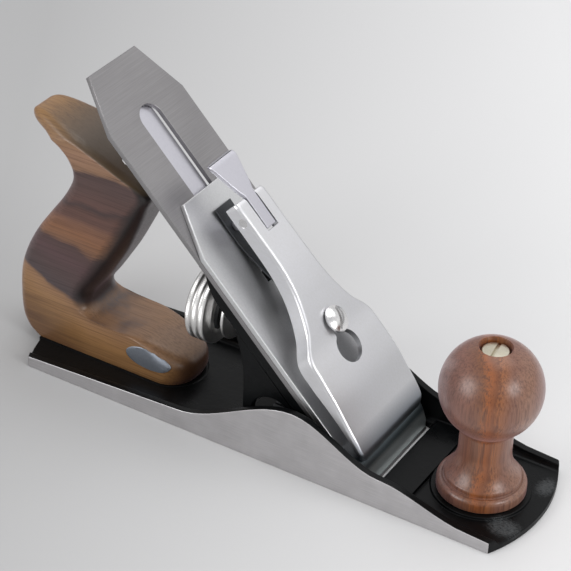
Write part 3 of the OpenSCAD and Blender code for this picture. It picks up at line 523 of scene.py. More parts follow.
@dataclass(frozen=True)
class CastEnamel:
    """Black baked enamel brushed over rough cast iron.

    The eye sees a deep gloss with soft waves of the casting under it, a few dull patches, and grey scuffs where tools
    and work have rubbed the toe.
    """

    name: str = "black baked enamel over sand cast iron"
    tint: str = "#060708"
    dusty: str = "#0d0e0f"
    gloss: float = 0.15
    scuff: str = "#8d9193"
    scuff_spots: tuple[tuple[Point, Point], ...] = ()
    scuff_mm: Point = (1.6, 0.35, 1.0)
    patch_mm: float = 14.0
    wave_mm: float = 2.6
    wave_depth: float = 0.35
    roughness: float = 0.3

    def build(self) -> bpy.types.Material:
        """Builds the material.

        Returns:
            A glossy black with waves, dull patches and the scuffs.
        """
        material = bpy.data.materials.new(self.name)
        material.use_nodes = True
        tree = material.node_tree
        shader = tree.nodes["Principled BSDF"]
        place = add_node(tree, "ShaderNodeTexCoord")
        waves = add_node(
            tree, "ShaderNodeTexNoise",
            {"Vector": place.outputs["Object"], "Scale": 1 / (MM * self.wave_mm), "Detail": 3.0, "Roughness": 0.55},
        )
        patches = add_node(
            tree, "ShaderNodeTexNoise",
            {"Vector": place.outputs["Object"], "Scale": 1 / (MM * self.patch_mm), "Detail": 5.0, "Roughness": 0.65},
        )
        base = add_node(
            tree, "ShaderNodeValToRGB", {"Fac": patches.outputs["Fac"]},
            stops=((0.42, self.tint), (0.72, self.dusty)),
        )
        # Scuffs are soft patches of scratches, about a third of a millimetre wide
        strokes = add_node(
            tree, "ShaderNodeMapping",
            {"Vector": place.outputs["Object"], "Scale": tuple(1 / (size * MM) for size in self.scuff_mm)},
        )
        rubbed = add_node(
            tree, "ShaderNodeTexNoise", {"Vector": strokes.outputs[0], "Scale": 1.0, "Detail": 4.0, "Roughness": 0.7}
        )
        colour = base.outputs["Color"]
        for centre, reach in self.scuff_spots:
            local = add_node(
                tree, "ShaderNodeMapping",
                {
                    "Vector": place.outputs["Object"], "Location": tuple(-c / r for c, r in zip(centre, reach)),
                    "Scale": tuple(1 / (r * MM) for r in reach),
                },
            )
            distance = add_node(tree, "ShaderNodeVectorMath", {0: local.outputs[0]}, operation="LENGTH")
            near = add_node(
                tree, "ShaderNodeMapRange",
                {"Value": distance.outputs["Value"], "From Min": 0.25, "From Max": 1.0, "To Min": 0.62, "To Max": 0.0},
            )
            mask = add_node(
                tree, "ShaderNodeMath", {0: near.outputs["Result"], 1: rubbed.outputs["Fac"]}, operation="MULTIPLY"
            )
            share = add_node(
                tree, "ShaderNodeMapRange",
                {"Value": mask.outputs[0], "From Min": 0.2, "From Max": 0.5, "To Min": 0.0, "To Max": 0.5},
            )
            blend = add_node(
                tree, "ShaderNodeMix", {"Factor": share.outputs["Result"], "A": colour, "B": linear(self.scuff)},
                data_type="RGBA",
            )
            colour = blend.outputs["Result"]
        rough = add_node(
            tree, "ShaderNodeMapRange",
            {
                "Value": patches.outputs["Fac"], "From Min": 0.3, "From Max": 0.75,
                "To Min": self.roughness - 0.06, "To Max": self.roughness + 0.16,
            },
        )
        bump = add_node(
            tree, "ShaderNodeBump",
            {"Height": waves.outputs["Fac"], "Strength": self.wave_depth, "Distance": 0.25 * MM},
        )
        tree.links.new(colour, shader.inputs["Base Color"])
        tree.links.new(rough.outputs["Result"], shader.inputs["Roughness"])
        tree.links.new(bump.outputs["Normal"], shader.inputs["Normal"])
        shader.inputs["Specular IOR Level"].default_value = self.gloss
        return material


@dataclass(frozen=True)
class BandedWood:
    """Oiled tropical hardwood sawn so that its colour bands cross the piece.

    The eye sees bands of tan, red brown and purple brown, fine pores drawn out along the fibres, and a thin oil sheen.
    Its places are in millimetres from centre. The bands' stops lie between low and high along the way across. The
    bands slant along X as far as clamp_x, and tilt holds two heights and the slant at each.
    """

    name: str
    stops: tuple[tuple[float, str], ...]
    low: float
    high: float
    tilt: tuple[float, float, float, float]
    centre: Point
    fibre_mm: Point
    wander_mm: float
    wander_wave_mm: float = 22.0
    streak_mm: float = 0.9
    pore: str = "#cdc6c1"
    roughness: float = 0.42
    clamp_x: float = 1000.0
    across: Point = (0.0, 0.0, 1.0)
    sheen: float = 0.0
    # Turns on painted shade on the faces that look to the front, and an olive tint on the horn's top
    shade_and_olive_faces: bool = False

    def build(self) -> bpy.types.Material:
        """Builds the material.

        Returns:
            A banded wood, whose bands lie across the height and tilt with it.
        """
        material = bpy.data.materials.new(self.name)
        material.use_nodes = True
        tree = material.node_tree
        shader = tree.nodes["Principled BSDF"]
        place = add_node(tree, "ShaderNodeTexCoord")
        local = add_node(
            tree, "ShaderNodeMapping",
            {"Vector": place.outputs["Object"], "Location": tuple(-c for c in self.centre), "Scale": (1 / MM,) * 3},
        )
        axes = add_node(tree, "ShaderNodeSeparateXYZ", {"Vector": local.outputs[0]})
        wander = add_node(
            tree, "ShaderNodeTexNoise",
            {"Vector": local.outputs[0], "Scale": 1 / self.wander_wave_mm, "Detail": 3.0, "Roughness": 0.55},
        )
        fibres_at = add_node(
            tree, "ShaderNodeMapping",
            {"Vector": local.outputs[0], "Scale": tuple(1 / size for size in self.fibre_mm)},
        )
        fibres = add_node(
            tree, "ShaderNodeTexNoise",
            {"Vector": fibres_at.outputs[0], "Scale": 1.0, "Detail": 5.0, "Roughness": 0.65, "Distortion": 0.25},
        )
        # The bands tilt one way at the foot and the other way higher up
        tilt = add_node(
            tree, "ShaderNodeMapRange",
            {
                "Value": axes.outputs["Z"], "From Min": self.tilt[0], "From Max": self.tilt[1],
                "To Min": self.tilt[2], "To Max": self.tilt[3],
            },
        )
        front = add_node(tree, "ShaderNodeMath", {0: axes.outputs["X"], 1: self.clamp_x}, operation="MINIMUM")
        slant = add_node(
            tree, "ShaderNodeMath", {0: front.outputs[0], 1: tilt.outputs["Result"]}, operation="MULTIPLY"
        )
        reach = add_node(
            tree, "ShaderNodeVectorMath", {0: local.outputs[0], 1: self.across}, operation="DOT_PRODUCT"
        )
        level = add_node(
            tree, "ShaderNodeMath", {0: reach.outputs["Value"], 1: slant.outputs[0]}, operation="SUBTRACT"
        )
        waves = add_node(
            tree, "ShaderNodeMapRange",
            {"Value": wander.outputs["Fac"], "From Min": 0.25, "From Max": 0.75,
             "To Min": -self.wander_mm, "To Max": self.wander_mm},
        )
        moved = add_node(tree, "ShaderNodeMath", {0: level.outputs[0], 1: waves.outputs["Result"]}, operation="ADD")
        streaks = add_node(
            tree, "ShaderNodeMapRange",
            {"Value": fibres.outputs["Fac"], "From Min": 0.3, "From Max": 0.7,
             "To Min": -self.streak_mm, "To Max": self.streak_mm},
        )
        moved = add_node(tree, "ShaderNodeMath", {0: moved.outputs[0], 1: streaks.outputs["Result"]}, operation="ADD")
        share = add_node(
            tree, "ShaderNodeMapRange", {"Value": moved.outputs[0], "From Min": self.low, "From Max": self.high}
        )
        span = self.high - self.low
        bands = add_node(
            tree, "ShaderNodeValToRGB", {"Fac": share.outputs["Result"]},
            stops=tuple(((height - self.low) / span, colour) for height, colour in self.stops),
        )
        pores = add_node(
            tree, "ShaderNodeValToRGB", {"Fac": fibres.outputs["Fac"]}, stops=((0.34, self.pore), (0.56, "#ffffff")),
        )
        darker = add_node(
            tree, "ShaderNodeMix",
            {"Factor": 1.0, "A": bands.outputs["Color"], "B": pores.outputs["Color"]},
            data_type="RGBA", blend_type="MULTIPLY",
        )
        colour = darker.outputs["Result"]
        # Painted shade on the front faces and an olive top, chosen by the way each face looks
        if self.shade_and_olive_faces:
            colour = self.paint_shade_and_olive(tree, place, axes, colour)
        bump = add_node(
            tree, "ShaderNodeBump", {"Height": fibres.outputs["Fac"], "Strength": 0.12, "Distance": 0.08 * MM}
        )
        rough = add_node(
            tree, "ShaderNodeMapRange",
            {
                "Value": fibres.outputs["Fac"], "From Min": 0.3, "From Max": 0.7,
                "To Min": self.roughness + 0.14, "To Max": self.roughness - 0.05,
            },
        )
        tree.links.new(colour, shader.inputs["Base Color"])
        tree.links.new(rough.outputs["Result"], shader.inputs["Roughness"])
        tree.links.new(bump.outputs["Normal"], shader.inputs["Normal"])
        shader.inputs["Coat Weight"].default_value = self.sheen
        shader.inputs["Coat Roughness"].default_value = 0.3
        shader.inputs["Sheen Weight"].default_value = self.sheen
        shader.inputs["Sheen Roughness"].default_value = 0.45
        shader.inputs["Sheen Tint"].default_value = linear("#c9a9b4")
        return material

    def paint_shade_and_olive(
        self,
        tree: bpy.types.NodeTree,
        place: bpy.types.Node,
        axes: bpy.types.Node,
        colour: bpy.types.NodeSocket,
    ) -> bpy.types.NodeSocket:
        """Paints shade on the faces that look to the front, and tints the horn's top olive.

        Args:
            tree: Node tree of the material.
            place: Texture coordinates.
            axes: Separated place in millimetres.
            colour: Colour so far.

        Returns:
            The colour with painted shade making the grip's front near black and the foot's front dark red brown, and
            the horn's top olive, more so towards its front.
        """
        looks = add_node(tree, "ShaderNodeSeparateXYZ", {"Vector": place.outputs["Normal"]})
        shade_and_tone_masks = (
            # The side a face looks to, its range, the place's axis, its range, the share and the colour laid on
            # Painted shade: faces of the grip's front, near black
            ("X", 0.12, 0.55, "Z", 23.0, 31.0, 0.94, "#120d0b"),
            # Painted shade: the foot's front end, dark red brown
            ("X", 0.1, 0.8, "Z", 22.5, 17.0, 0.85, "#3f2516"),
            # The horn's upward faces, tinted olive towards the front
            ("Z", 0.3, 0.75, "X", -26.0, 4.0, 0.8, "#54452f"),
        )
        for side, low, high, axis, start, stop, share, shade_and_tone in shade_and_tone_masks:
            turned = add_node(
                tree, "ShaderNodeMapRange", {"Value": looks.outputs[side], "From Min": low, "From Max": high}
            )
            spot = add_node(
                tree, "ShaderNodeMapRange",
                {"Value": axes.outputs[axis], "From Min": start, "From Max": stop, "To Min": 0.0, "To Max": share},
            )
            mask = add_node(
                tree, "ShaderNodeMath", {0: turned.outputs["Result"], 1: spot.outputs["Result"]}, operation="MULTIPLY"
            )
            if axis == "X":
                high_up = add_node(
                    tree, "ShaderNodeMapRange", {"Value": axes.outputs["Z"], "From Min": 84.0, "From Max": 92.0}
                )
                mask = add_node(
                    tree, "ShaderNodeMath", {0: mask.outputs[0], 1: high_up.outputs["Result"]}, operation="MULTIPLY"
                )
            colour = add_node(
                tree, "ShaderNodeMix", {"Factor": mask.outputs[0], "A": colour, "B": linear(shade_and_tone)}, data_type="RGBA"
            ).outputs["Result"]
        return colour


class Finishes:
    """All materials of the plane, each built once."""

    def __init__(self) -> None:
        """Builds every finish."""
        # Grey cast iron, surface ground along the body: soft grey with fine lines, next to no mirror
        self.ground_iron = MetalFinish(
            "surface ground grey cast iron", "#cac8c9", "#b3b1b2", 0.48, 0.04, (16, 0.5, 0.35), 9, 0.12
        ).build()
        self.enamel = CastEnamel(
            scuff_spots=(((109, -17, 3), (15, 12, 5)), ((112, 15, 4), (9, 14, 6))),
        ).build()
        # The same enamel on the frog: thinner, with more of the cast skin showing
        self.frog_enamel = CastEnamel(
            name="thin black enamel on the frog casting", tint="#08090a", dusty="#121415", wave_mm=1.6,
            wave_depth=0.4, roughness=0.4,
        ).build()
        # Tool steel ground across its width: mid grey with fine cross lines
        self.cutter_steel = MetalFinish(
            "cross ground tool steel", "#9f9d9e", "#8e8c8d", 0.42, 0.03, (0.4, 22, 0.4), 34, 0.12,
            turn=(0, BED.angle, 0),
        ).build()
        # The same steel rubbed bright: long soft reflections
        self.cap_steel = MetalFinish(
            "fine polished cap iron steel", "#dededf", "#cfd0d1", 0.4, 0.03, (9, 0.7, 0.7), 30, 0.05,
            turn=(0, BED.angle, 0),
            # Painted shade: a dark band where the cap iron's hump lies in the shade of the lever cap's end, lighter
            # again at the nose
            shade_and_tone=((0, "#e4ecea"), (4.5, "#d4dcdb"), (6.5, "#6c767a"), (12, "#6c767a"), (20, "#ffffff")),
        ).build()
        # Nickel plate over ground cast iron: even satin, slightly cool
        self.satin_nickel = MetalFinish(
            "satin nickel plate", "#d3d2d9", "#cac9d1", 0.32, 0.02, (3, 0.8, 0.8), 34, 0.02
        ).build()
        # The same plate on the lever cap, with painted shade towards the mouth where its lower end curves down
        self.cap_nickel = MetalFinish(
            "satin nickel plate with painted shade at its lower end", "#e6e6ea", "#dededf", 0.38, 0.02, (3, 0.8, 0.8), 34, 0.02,
            shade_and_tone=((9, "#6e7479"), (13, "#a6abb0"), (21, "#ffffff")),
        ).build()
        # The same plate rubbed soft by fingers: the wheel's rings stay light from every side
        self.ring_nickel = MetalFinish(
            "finger rubbed nickel of the wheel", "#efeeec", "#dddcdb", 0.38, 0.03, (2, 2, 2), 20, 0.02
        ).build()
        # Nickel plate left bright: crisp highlights on wheel, screws and nuts
        self.bright_nickel = MetalFinish(
            "bright nickel plate", "#e4e3e2", "#d2d1d2", 0.22, 0.03, (1.5, 1.5, 1.5), 20, 0.02
        ).build()
        self.tote_wood = BandedWood(
            name="oiled banded hardwood of the tote",
            stops=(
                (0, "#6b4b2c"), (7, "#7c5a35"), (14, "#8f6a42"), (19, "#96714c"), (23.5, "#8d6a4c"),
                (25.5, "#463a3b"), (34, "#4b3a39"), (46, "#51393a"), (53, "#4b3532"), (55.5, "#7a553c"),
                (61, "#84593a"), (67, "#7d5640"), (70.5, "#5f4036"), (75, "#5b3d34"), (77.5, "#3f2c2a"),
                (80, "#5a3e37"), (88, "#513b37"), (92.5, "#4c3734"), (94.5, "#8c6a50"), (102, "#97735a"),
                (110, "#92704d"), (118, "#99713f"),
            ),
            low=0, high=120, tilt=(39, 80, -0.5, 0.15), centre=(-95, 0, 0), fibre_mm=(34.0, 0.8, 0.7), wander_mm=2.4,
            clamp_x=5.0, shade_and_olive_faces=True, roughness=0.34, sheen=0.2,
        ).build()
        # Bands run across the camera's view: the orange brown streak in the middle is the grain's own, the lighter
        # purple brown towards both sides is partly painted sheen
        self.knob_wood = BandedWood(
            name="oiled red brown hardwood of the knob",
            stops=((-21, "#6c4c44"), (-12, "#80584a"), (-6, "#795039"), (-2.5, "#95572e"), (0.5, "#764527"),
                   (3, "#8f5832"), (7, "#7b5240"), (14, "#8a6551"), (21, "#775448")),
            low=-24, high=24, tilt=(0, 1, 0, 0), centre=(90.2, 0, 0), fibre_mm=(0.7, 0.7, 20.0), wander_mm=3.0,
            streak_mm=2.2, pore="#bdb3ac", roughness=0.3, across=(0.867, 0.498, 0.0), sheen=0.3,
        ).build()
        # A thin aluminium label, dulled to blue grey, with nothing on it
        self.label_metal = MetalFinish(
            "dulled bare aluminium foil", "#b2b8c2", "#9ba2ad", 0.5, 0.05, (1.2, 1.2, 1.2), 5, 0.08
        ).build()
        # Low screws and leaf spring, which sit in shade: rough steel darkened as painted shade
        self.shade_darkened_steel = MetalFinish(
            "steel darkened as painted shade", "#5f6163", "#4d4f51", 0.5, 0.04, (2, 0.8, 0.8), 20, 0.05
        ).build()
        # Brass-tinted nickel of the knob's nut
        self.warm_nickel = MetalFinish(
            "nickel rubbed thin over brass", "#dcd6c4", "#c9c1ac", 0.3, 0.03, (1.5, 1.5, 1.5), 9, 0.04
        ).build()


# Sub-assemblies


@dataclass
class Casting:
    """The cast body: sole, side walls, seats and pads."""

    sole_w: float = 63.0
    mouth_front: float = 55.41
    edge: float = 0.45

    def build(self, finishes: Finishes) -> None:
        """Softens the CAD casting, grinds its outside and blackens the rest.

        Args:
            finishes: Materials of the plane.
        """
        work = Work.from_node("body")
        work.soften(self.edge, 2)
        work.paint(1, self.is_ground)
        work.piece(
            "cast_body", "base", Slot.ENAMEL, (finishes.enamel, finishes.ground_iron), ("body",)
        )

    def is_ground(self, face: bmesh.types.BMFace) -> bool:
        """Tells the machined faces from the cast ones.

        Args:
            face: Face of the casting.

        Returns:
            True on the sole, the two sides and the front of the mouth.
        """
        middle, normal = face.calc_center_median(), face.normal
        if normal.z < -0.9 and middle.z < 0.5:
            return True
        if abs(normal.y) > 0.9 and abs(middle.y) > self.sole_w / 2 - 0.3:
            return True
        return abs(middle.x - self.mouth_front) < 0.2 and abs(normal.x) > 0.9


@dataclass
class FrogUnit:
    """The frog and what is fixed in it."""

    edge: float = 0.5
    screw_l: float = 61.5
    head_t: float = 19.75
    head_r: float = 5.8
    head_h: float = 3.0
    dome_r: float = 9.0
    shank_r: float = 3.0
    shank_t: float = -13.0
    slot_w: float = 1.2
    slot_depth: float = 1.6
    slot_turn: float = -28.0

    def build(self, finishes: Finishes) -> None:
        """Softens the frog and makes the screw that holds the lever cap.

        Args:
            finishes: Materials of the plane.
        """
        work = Work.from_node("frog")
        work.paint(1, self.is_bed)
        work.soften(self.edge, 2)
        work.piece("frog_casting", "frog_unit", Slot.ENAMEL, (finishes.frog_enamel, finishes.ground_iron), ("frog",))
        self.hold_screw(finishes)
        # Frog screws and washers take the darkened steel: painted shade
        for node in ("frog_screw_near", "frog_screw_far", "frog_washer_near", "frog_washer_far"):
            dress(node, finishes.shade_darkened_steel)
        for node in ("yoke_pin", "lateral_rivet"):
            dress(node, finishes.bright_nickel)

    def is_bed(self, face: bmesh.types.BMFace) -> bool:
        """Tells the frog's ground bed from its cast faces.

        Args:
            face: Face of the frog.

        Returns:
            True where the face lies in the bed.
        """
        middle = face.calc_center_median()
        above = (middle.z - (BED.foot_x - middle.x)) * math.sin(BED.angle)
        return face.normal.dot(Vector((1, 0, 1)).normalized()) > 0.98 and abs(above) < 0.4

    def hold_screw(self, finishes: Finishes) -> None:
        """Turns the domed screw of the keyhole and saws its slot.

        Args:
            finishes: Materials of the plane.
        """
        top = self.head_t + self.head_h
        dome = [(r, z + top - self.dome_r) for r, z in arc((0, 0), self.dome_r, 90, 55.5, 12)]
        profile = dome + [
            (self.head_r - 0.05, dome[-1][1] - 0.25), (self.head_r, dome[-1][1] - 0.6),
            (self.head_r, self.head_t + 0.35), (self.head_r - 0.35, self.head_t), (self.shank_r, self.head_t),
            (self.shank_r, self.shank_t), (0.0, self.shank_t),
        ]
        work = Work()
        work.turn(profile, 72)
        slot = Work()
        slot.block((-8, -self.slot_w / 2, top - self.slot_depth), (8, self.slot_w / 2, top + 2))
        slot.move(Matrix.Rotation(math.radians(self.slot_turn), 4, "Z"))
        work.cut(slot)
        work.move(BED.matrix() @ Matrix.Translation((self.screw_l, 0, 0)))
        work.piece(
            "hold_screw", "frog_unit", Slot.NICKEL, (finishes.bright_nickel,), ("lever_cap_screw",), sharp=30
        )


@dataclass
class Adjusters:
    """Depth wheel, stud, yoke and lateral lever."""

    axis_z: float = 44.2
    rear_x: float = -41.1
    ring_w: float = 2.4
    ring_gap: float = 0.7
    rim_r: float = 17.0
    tooth: float = 0.12
    teeth: int = 132
    collar_r: float = 12.5
    collar_w: float = 1.4
    groove_w: float = 4.4
    neck_r: float = 8.0
    bore_r: float = 3.56
    stud_r: float = 3.5
    stud_rear_x: float = -43.5
    stud_l: float = 38.4
    thread_depth: float = 0.45
    thread_turns: int = 24
    pitch: float = 1.1

    def build(self, finishes: Finishes) -> None:
        """Makes the wheel and stud and dresses the levers.

        Args:
            finishes: Materials of the plane.
        """
        self.wheel(finishes)
        self.stud(finishes)
        yoke = Work.from_node("yoke")
        yoke.soften(0.25, 2)
        yoke.piece("yoke_lever", "depth_yoke", Slot.IRON, (finishes.frog_enamel,), ("yoke",))
        lever = Work.from_node("lateral_lever")
        lever.soften(0.3, 2)
        lever.piece("lateral_strip", "lateral", Slot.NICKEL, (finishes.satin_nickel,), ("lateral_lever",))
        dress("lateral_roller", finishes.bright_nickel)

    def wheel(self, finishes: Finishes) -> None:
        """Lofts the knurled wheel round its bore.

        Args:
            finishes: Materials of the plane.
        """
        stations: list[tuple[float, float, float]] = []
        for i in range(3):
            start = self.rear_x + i * (self.ring_w + self.ring_gap)
            stop = start + self.ring_w
            stations += [
                (start, self.rim_r - 0.9, 0), (start, self.rim_r - 0.5, 0),
                (start + 0.4, self.rim_r - 0.05, self.tooth), (start + 0.55, self.rim_r, self.tooth),
                (stop - 0.55, self.rim_r, self.tooth),
                (stop - 0.4, self.rim_r - 0.05, self.tooth), (stop, self.rim_r - 0.5, 0), (stop, self.rim_r - 0.9, 0),
            ]
        rim_x = self.rear_x + 3 * self.ring_w + 2 * self.ring_gap
        groove = rim_x + self.collar_w
        front = groove + self.groove_w
        end = front + self.collar_w
        stations += [
            (rim_x, self.collar_r, 0), (groove - 0.3, self.collar_r, 0), (groove, self.collar_r - 0.3, 0),
            (groove, self.neck_r, 0), (front, self.neck_r, 0), (front, self.collar_r - 0.3, 0),
            (front + 0.3, self.collar_r, 0), (end - 0.3, self.collar_r, 0), (end, self.collar_r - 0.3, 0),
            (end, self.bore_r, 0), (self.rear_x, self.bore_r, 0), (self.rear_x, self.neck_r - 0.3, 0),
            (self.rear_x + 0.3, self.neck_r, 0), (self.rear_x + 1.4, self.neck_r, 0),
            (self.rear_x + 1.4, self.rim_r - 4.2, 0), (self.rear_x, self.rim_r - 4, 0),
        ]
        count = self.teeth * 2
        sections = []
        for x, radius, depth in stations:
            ring = []
            for j in range(count):
                angle = math.tau * j / count
                reach = radius - depth * (j % 2)
                ring.append((x, reach * math.cos(angle), self.axis_z + reach * math.sin(angle)))
            sections.append(ring)
        work = Work()
        work.loft(sections, closed=True)
        work.piece("knurled_wheel", "wheel", Slot.NICKEL, (finishes.ring_nickel,), ("depth_wheel",), sharp=28)

    def stud(self, finishes: Finishes) -> None:
        """Winds the stud's thread round its axis.

        Args:
            finishes: Materials of the plane.
        """
        work = Work()
        verts = []
        for i in range(2 * self.thread_turns + 1):
            radius = self.stud_r - (self.thread_depth if i % 2 else 0)
            verts.append(work.bm.verts.new((radius, 0, i * self.pitch / 2)))
        edges = [work.bm.edges.new(pair) for pair in zip(verts, verts[1:])]
        bmesh.ops.spin(
            work.bm, geom=verts + edges, cent=(0, 0, 0), axis=(0, 0, 1), dvec=(0, 0, self.pitch / 32),
            angle=math.tau, steps=32, use_merge=False, use_duplicate=False,
        )
        bmesh.ops.remove_doubles(work.bm, verts=work.bm.verts, dist=0.002)
        core_r = self.stud_r - self.thread_depth + 0.01
        work.rod((0, 0, 0.05), (0, 0, 1), (self.thread_turns + 0.9) * self.pitch, core_r, 32)
        bmesh.ops.recalc_face_normals(work.bm, faces=work.bm.faces)
        for x, toward in ((0.05, -1), (self.stud_l, 1)):
            bmesh.ops.bisect_plane(
                work.bm, geom=work.bm.verts[:] + work.bm.edges[:] + work.bm.faces[:], plane_co=(0, 0, x),
                plane_no=(0, 0, toward), clear_outer=True,
            )
        work.move(
            Matrix.Translation((self.stud_rear_x, 0, self.axis_z)) @ Matrix.Rotation(math.radians(90), 4, "Y")
        )
        work.piece("threaded_stud", "frog_unit", Slot.NICKEL, (finishes.bright_nickel,), ("depth_stud",))


@dataclass
class Cutter:
    """Iron, cap iron and the screw that joins them."""

    iron_edge: float = 0.16
    cap_edge: float = 0.4

    def build(self, finishes: Finishes) -> None:
        """Softens the two irons and dresses their screw.

        Args:
            finishes: Materials of the plane.
        """
        iron = Work.from_node("iron")
        iron.soften(self.iron_edge, 1)
        iron.piece("cutting_iron", "cutter", Slot.STEEL, (finishes.cutter_steel,), ("iron",))
        cap = Work.from_node("cap_iron")
        cap.soften(self.cap_edge, 2)
        cap.piece("bent_cap_iron", "cutter", Slot.STEEL, (finishes.cap_steel,), ("cap_iron",))
        dress("cap_iron_screw", finishes.bright_nickel)


@dataclass
class LeverCap:
    """The lever cap with its cam lever, pin, spring and rivet."""

    low_l: float = 9.5
    high_l: float = 122.0
    wide: float = 25.4
    neck: float = 10.0
    plate: float = 2.6
    flange: float = 2.8
    round_r: float = 1.6
    keyhole_l: float = 49.5
    keyhole_r: float = 7.0
    screw_l: float = 61.5
    screw_r: float = 3.5
    notch_l: float = 105.99
    notch_w: float = 7.4
    pin_l: float = 114.4
    pin_t: float = 18.2
    pin_r: float = 2.0
    rivet_l: float = 72.0
    rivet_r: float = 1.8

    def rows(self) -> list[tuple[float, float, float, float]]:
        """Lists the cap's sections.

        Returns:
            Place along the bed, top height, half width and side depth of each section.
        """
        return [
            (self.low_l, 9.7, self.wide - 3.4, 1), (self.low_l + 0.6, 10.5, self.wide - 2.2, 1.7),
            (self.low_l + 1.7, 11.4, self.wide - 1, 2.2), (self.low_l + 3.5, 12.3, self.wide - 0.2, 2.6),
            (18.08, 13.6, self.wide, 3), (24.06, 14.6, self.wide, 3.4), (34.98, 16.5, self.wide - 0.2, 5.2),
            (46.94, 17.5, self.wide - 0.8, 7), (56.04, 18, self.wide - 2, 7.6), (63.92, 19, 17.55, 7.6),
            (72.09, 20, 13.85, 7.4), (80.86, 20.9, 11.39, 7.3), (91.75, 21.5, self.neck + 0.2, 7.2),
            (108.08, 21.4, self.neck, 6.9), (self.high_l - 1.5, 21.2, self.neck, 6.8),
            (self.high_l, 20.6, self.neck - 0.4, 6.4),
        ]

    def section(self, place: float) -> list[Point]:
        """Outline of the cap across the bed.

        Args:
            place: Place along the bed.

        Returns:
            The points of a plate with two turned down sides and rounded upper edges.
        """
        rows = self.rows()
        top, half, drop = (smooth_read(rows, place, column) for column in (1, 2, 3))
        inner = min(drop - 0.25, self.plate)
        edge = min(self.round_r, drop * 0.7)
        inside = half - self.flange
        left = arc((-half + edge, top - edge), edge, 180, 90, 6)
        right = arc((half - edge, top - edge), edge, 90, 0, 6)
        outline = [(-half, top - drop)] + left + right + [
            (half, top - drop), (inside, top - drop), (inside - 0.8, top - inner),
            (-inside + 0.8, top - inner), (-inside, top - drop),
        ]
        return [(place, y, t) for y, t in outline]

    def build(self, finishes: Finishes) -> None:
        """Makes the cap and dresses its small parts.

        Args:
            finishes: Materials of the plane.
        """
        self.cap(finishes)
        lever = Work.from_node("cam_lever")
        lever.soften(0.35, 2)
        lever.piece("cam_thumb_lever", "cam", Slot.NICKEL, (finishes.satin_nickel,), ("cam_lever",))
        # The leaf spring takes the darkened steel: painted shade under the cap
        spring = Work.from_node("cap_spring")
        spring.soften(0.15, 1)
        spring.piece("leaf_spring", "cap", Slot.STEEL, (finishes.shade_darkened_steel,), ("cap_spring",))
        dress("cam_pin", finishes.bright_nickel)
        dress("spring_rivet", finishes.bright_nickel)

    def cap(self, finishes: Finishes) -> None:
        """Lofts the cap along the bed and cuts its keyhole, notch and holes.

        Args:
            finishes: Materials of the plane.
        """
        ends = [self.low_l + i * 0.25 for i in range(20)]
        middle = [self.low_l + 5 + (self.high_l - 6.5 - self.low_l) * i / 84 for i in range(85)]
        tail = [self.high_l - 1.1, self.high_l - 0.7, self.high_l - 0.3, self.high_l]
        work = Work()
        work.loft([self.section(place) for place in ends + middle + tail])
        tool = Work()
        opening = math.degrees(math.asin(self.screw_r / self.keyhole_r))
        outline = arc((self.keyhole_l, 0), self.keyhole_r, opening, 360 - opening, 44)
        outline += arc((self.screw_l + 0.4, 0), self.screw_r, -90, 90, 20)
        tool.loft([[(l, y, t) for l, y in outline] for t in (5, 25)])
        work.cut(tool)
        tool = Work()
        tool.block((self.notch_l, -self.notch_w / 2, 5), (self.notch_l + 40, self.notch_w / 2, 25))
        work.cut(tool)
        tool = Work()
        tool.rod((self.pin_l, -30, self.pin_t), (0, 1, 0), 60, self.pin_r)
        work.cut(tool)
        tool = Work()
        rivet_top = smooth_read(self.rows(), self.rivet_l, 1) - self.plate / 2
        tool.rod((self.rivet_l, 0, 5), (0, 0, 1), rivet_top - 5, self.rivet_r)
        work.cut(tool)
        work.move(BED.matrix())
        work.piece("nickel_lever_cap", "cap", Slot.NICKEL, (finishes.cap_nickel,), ("lever_cap",), sharp=38)


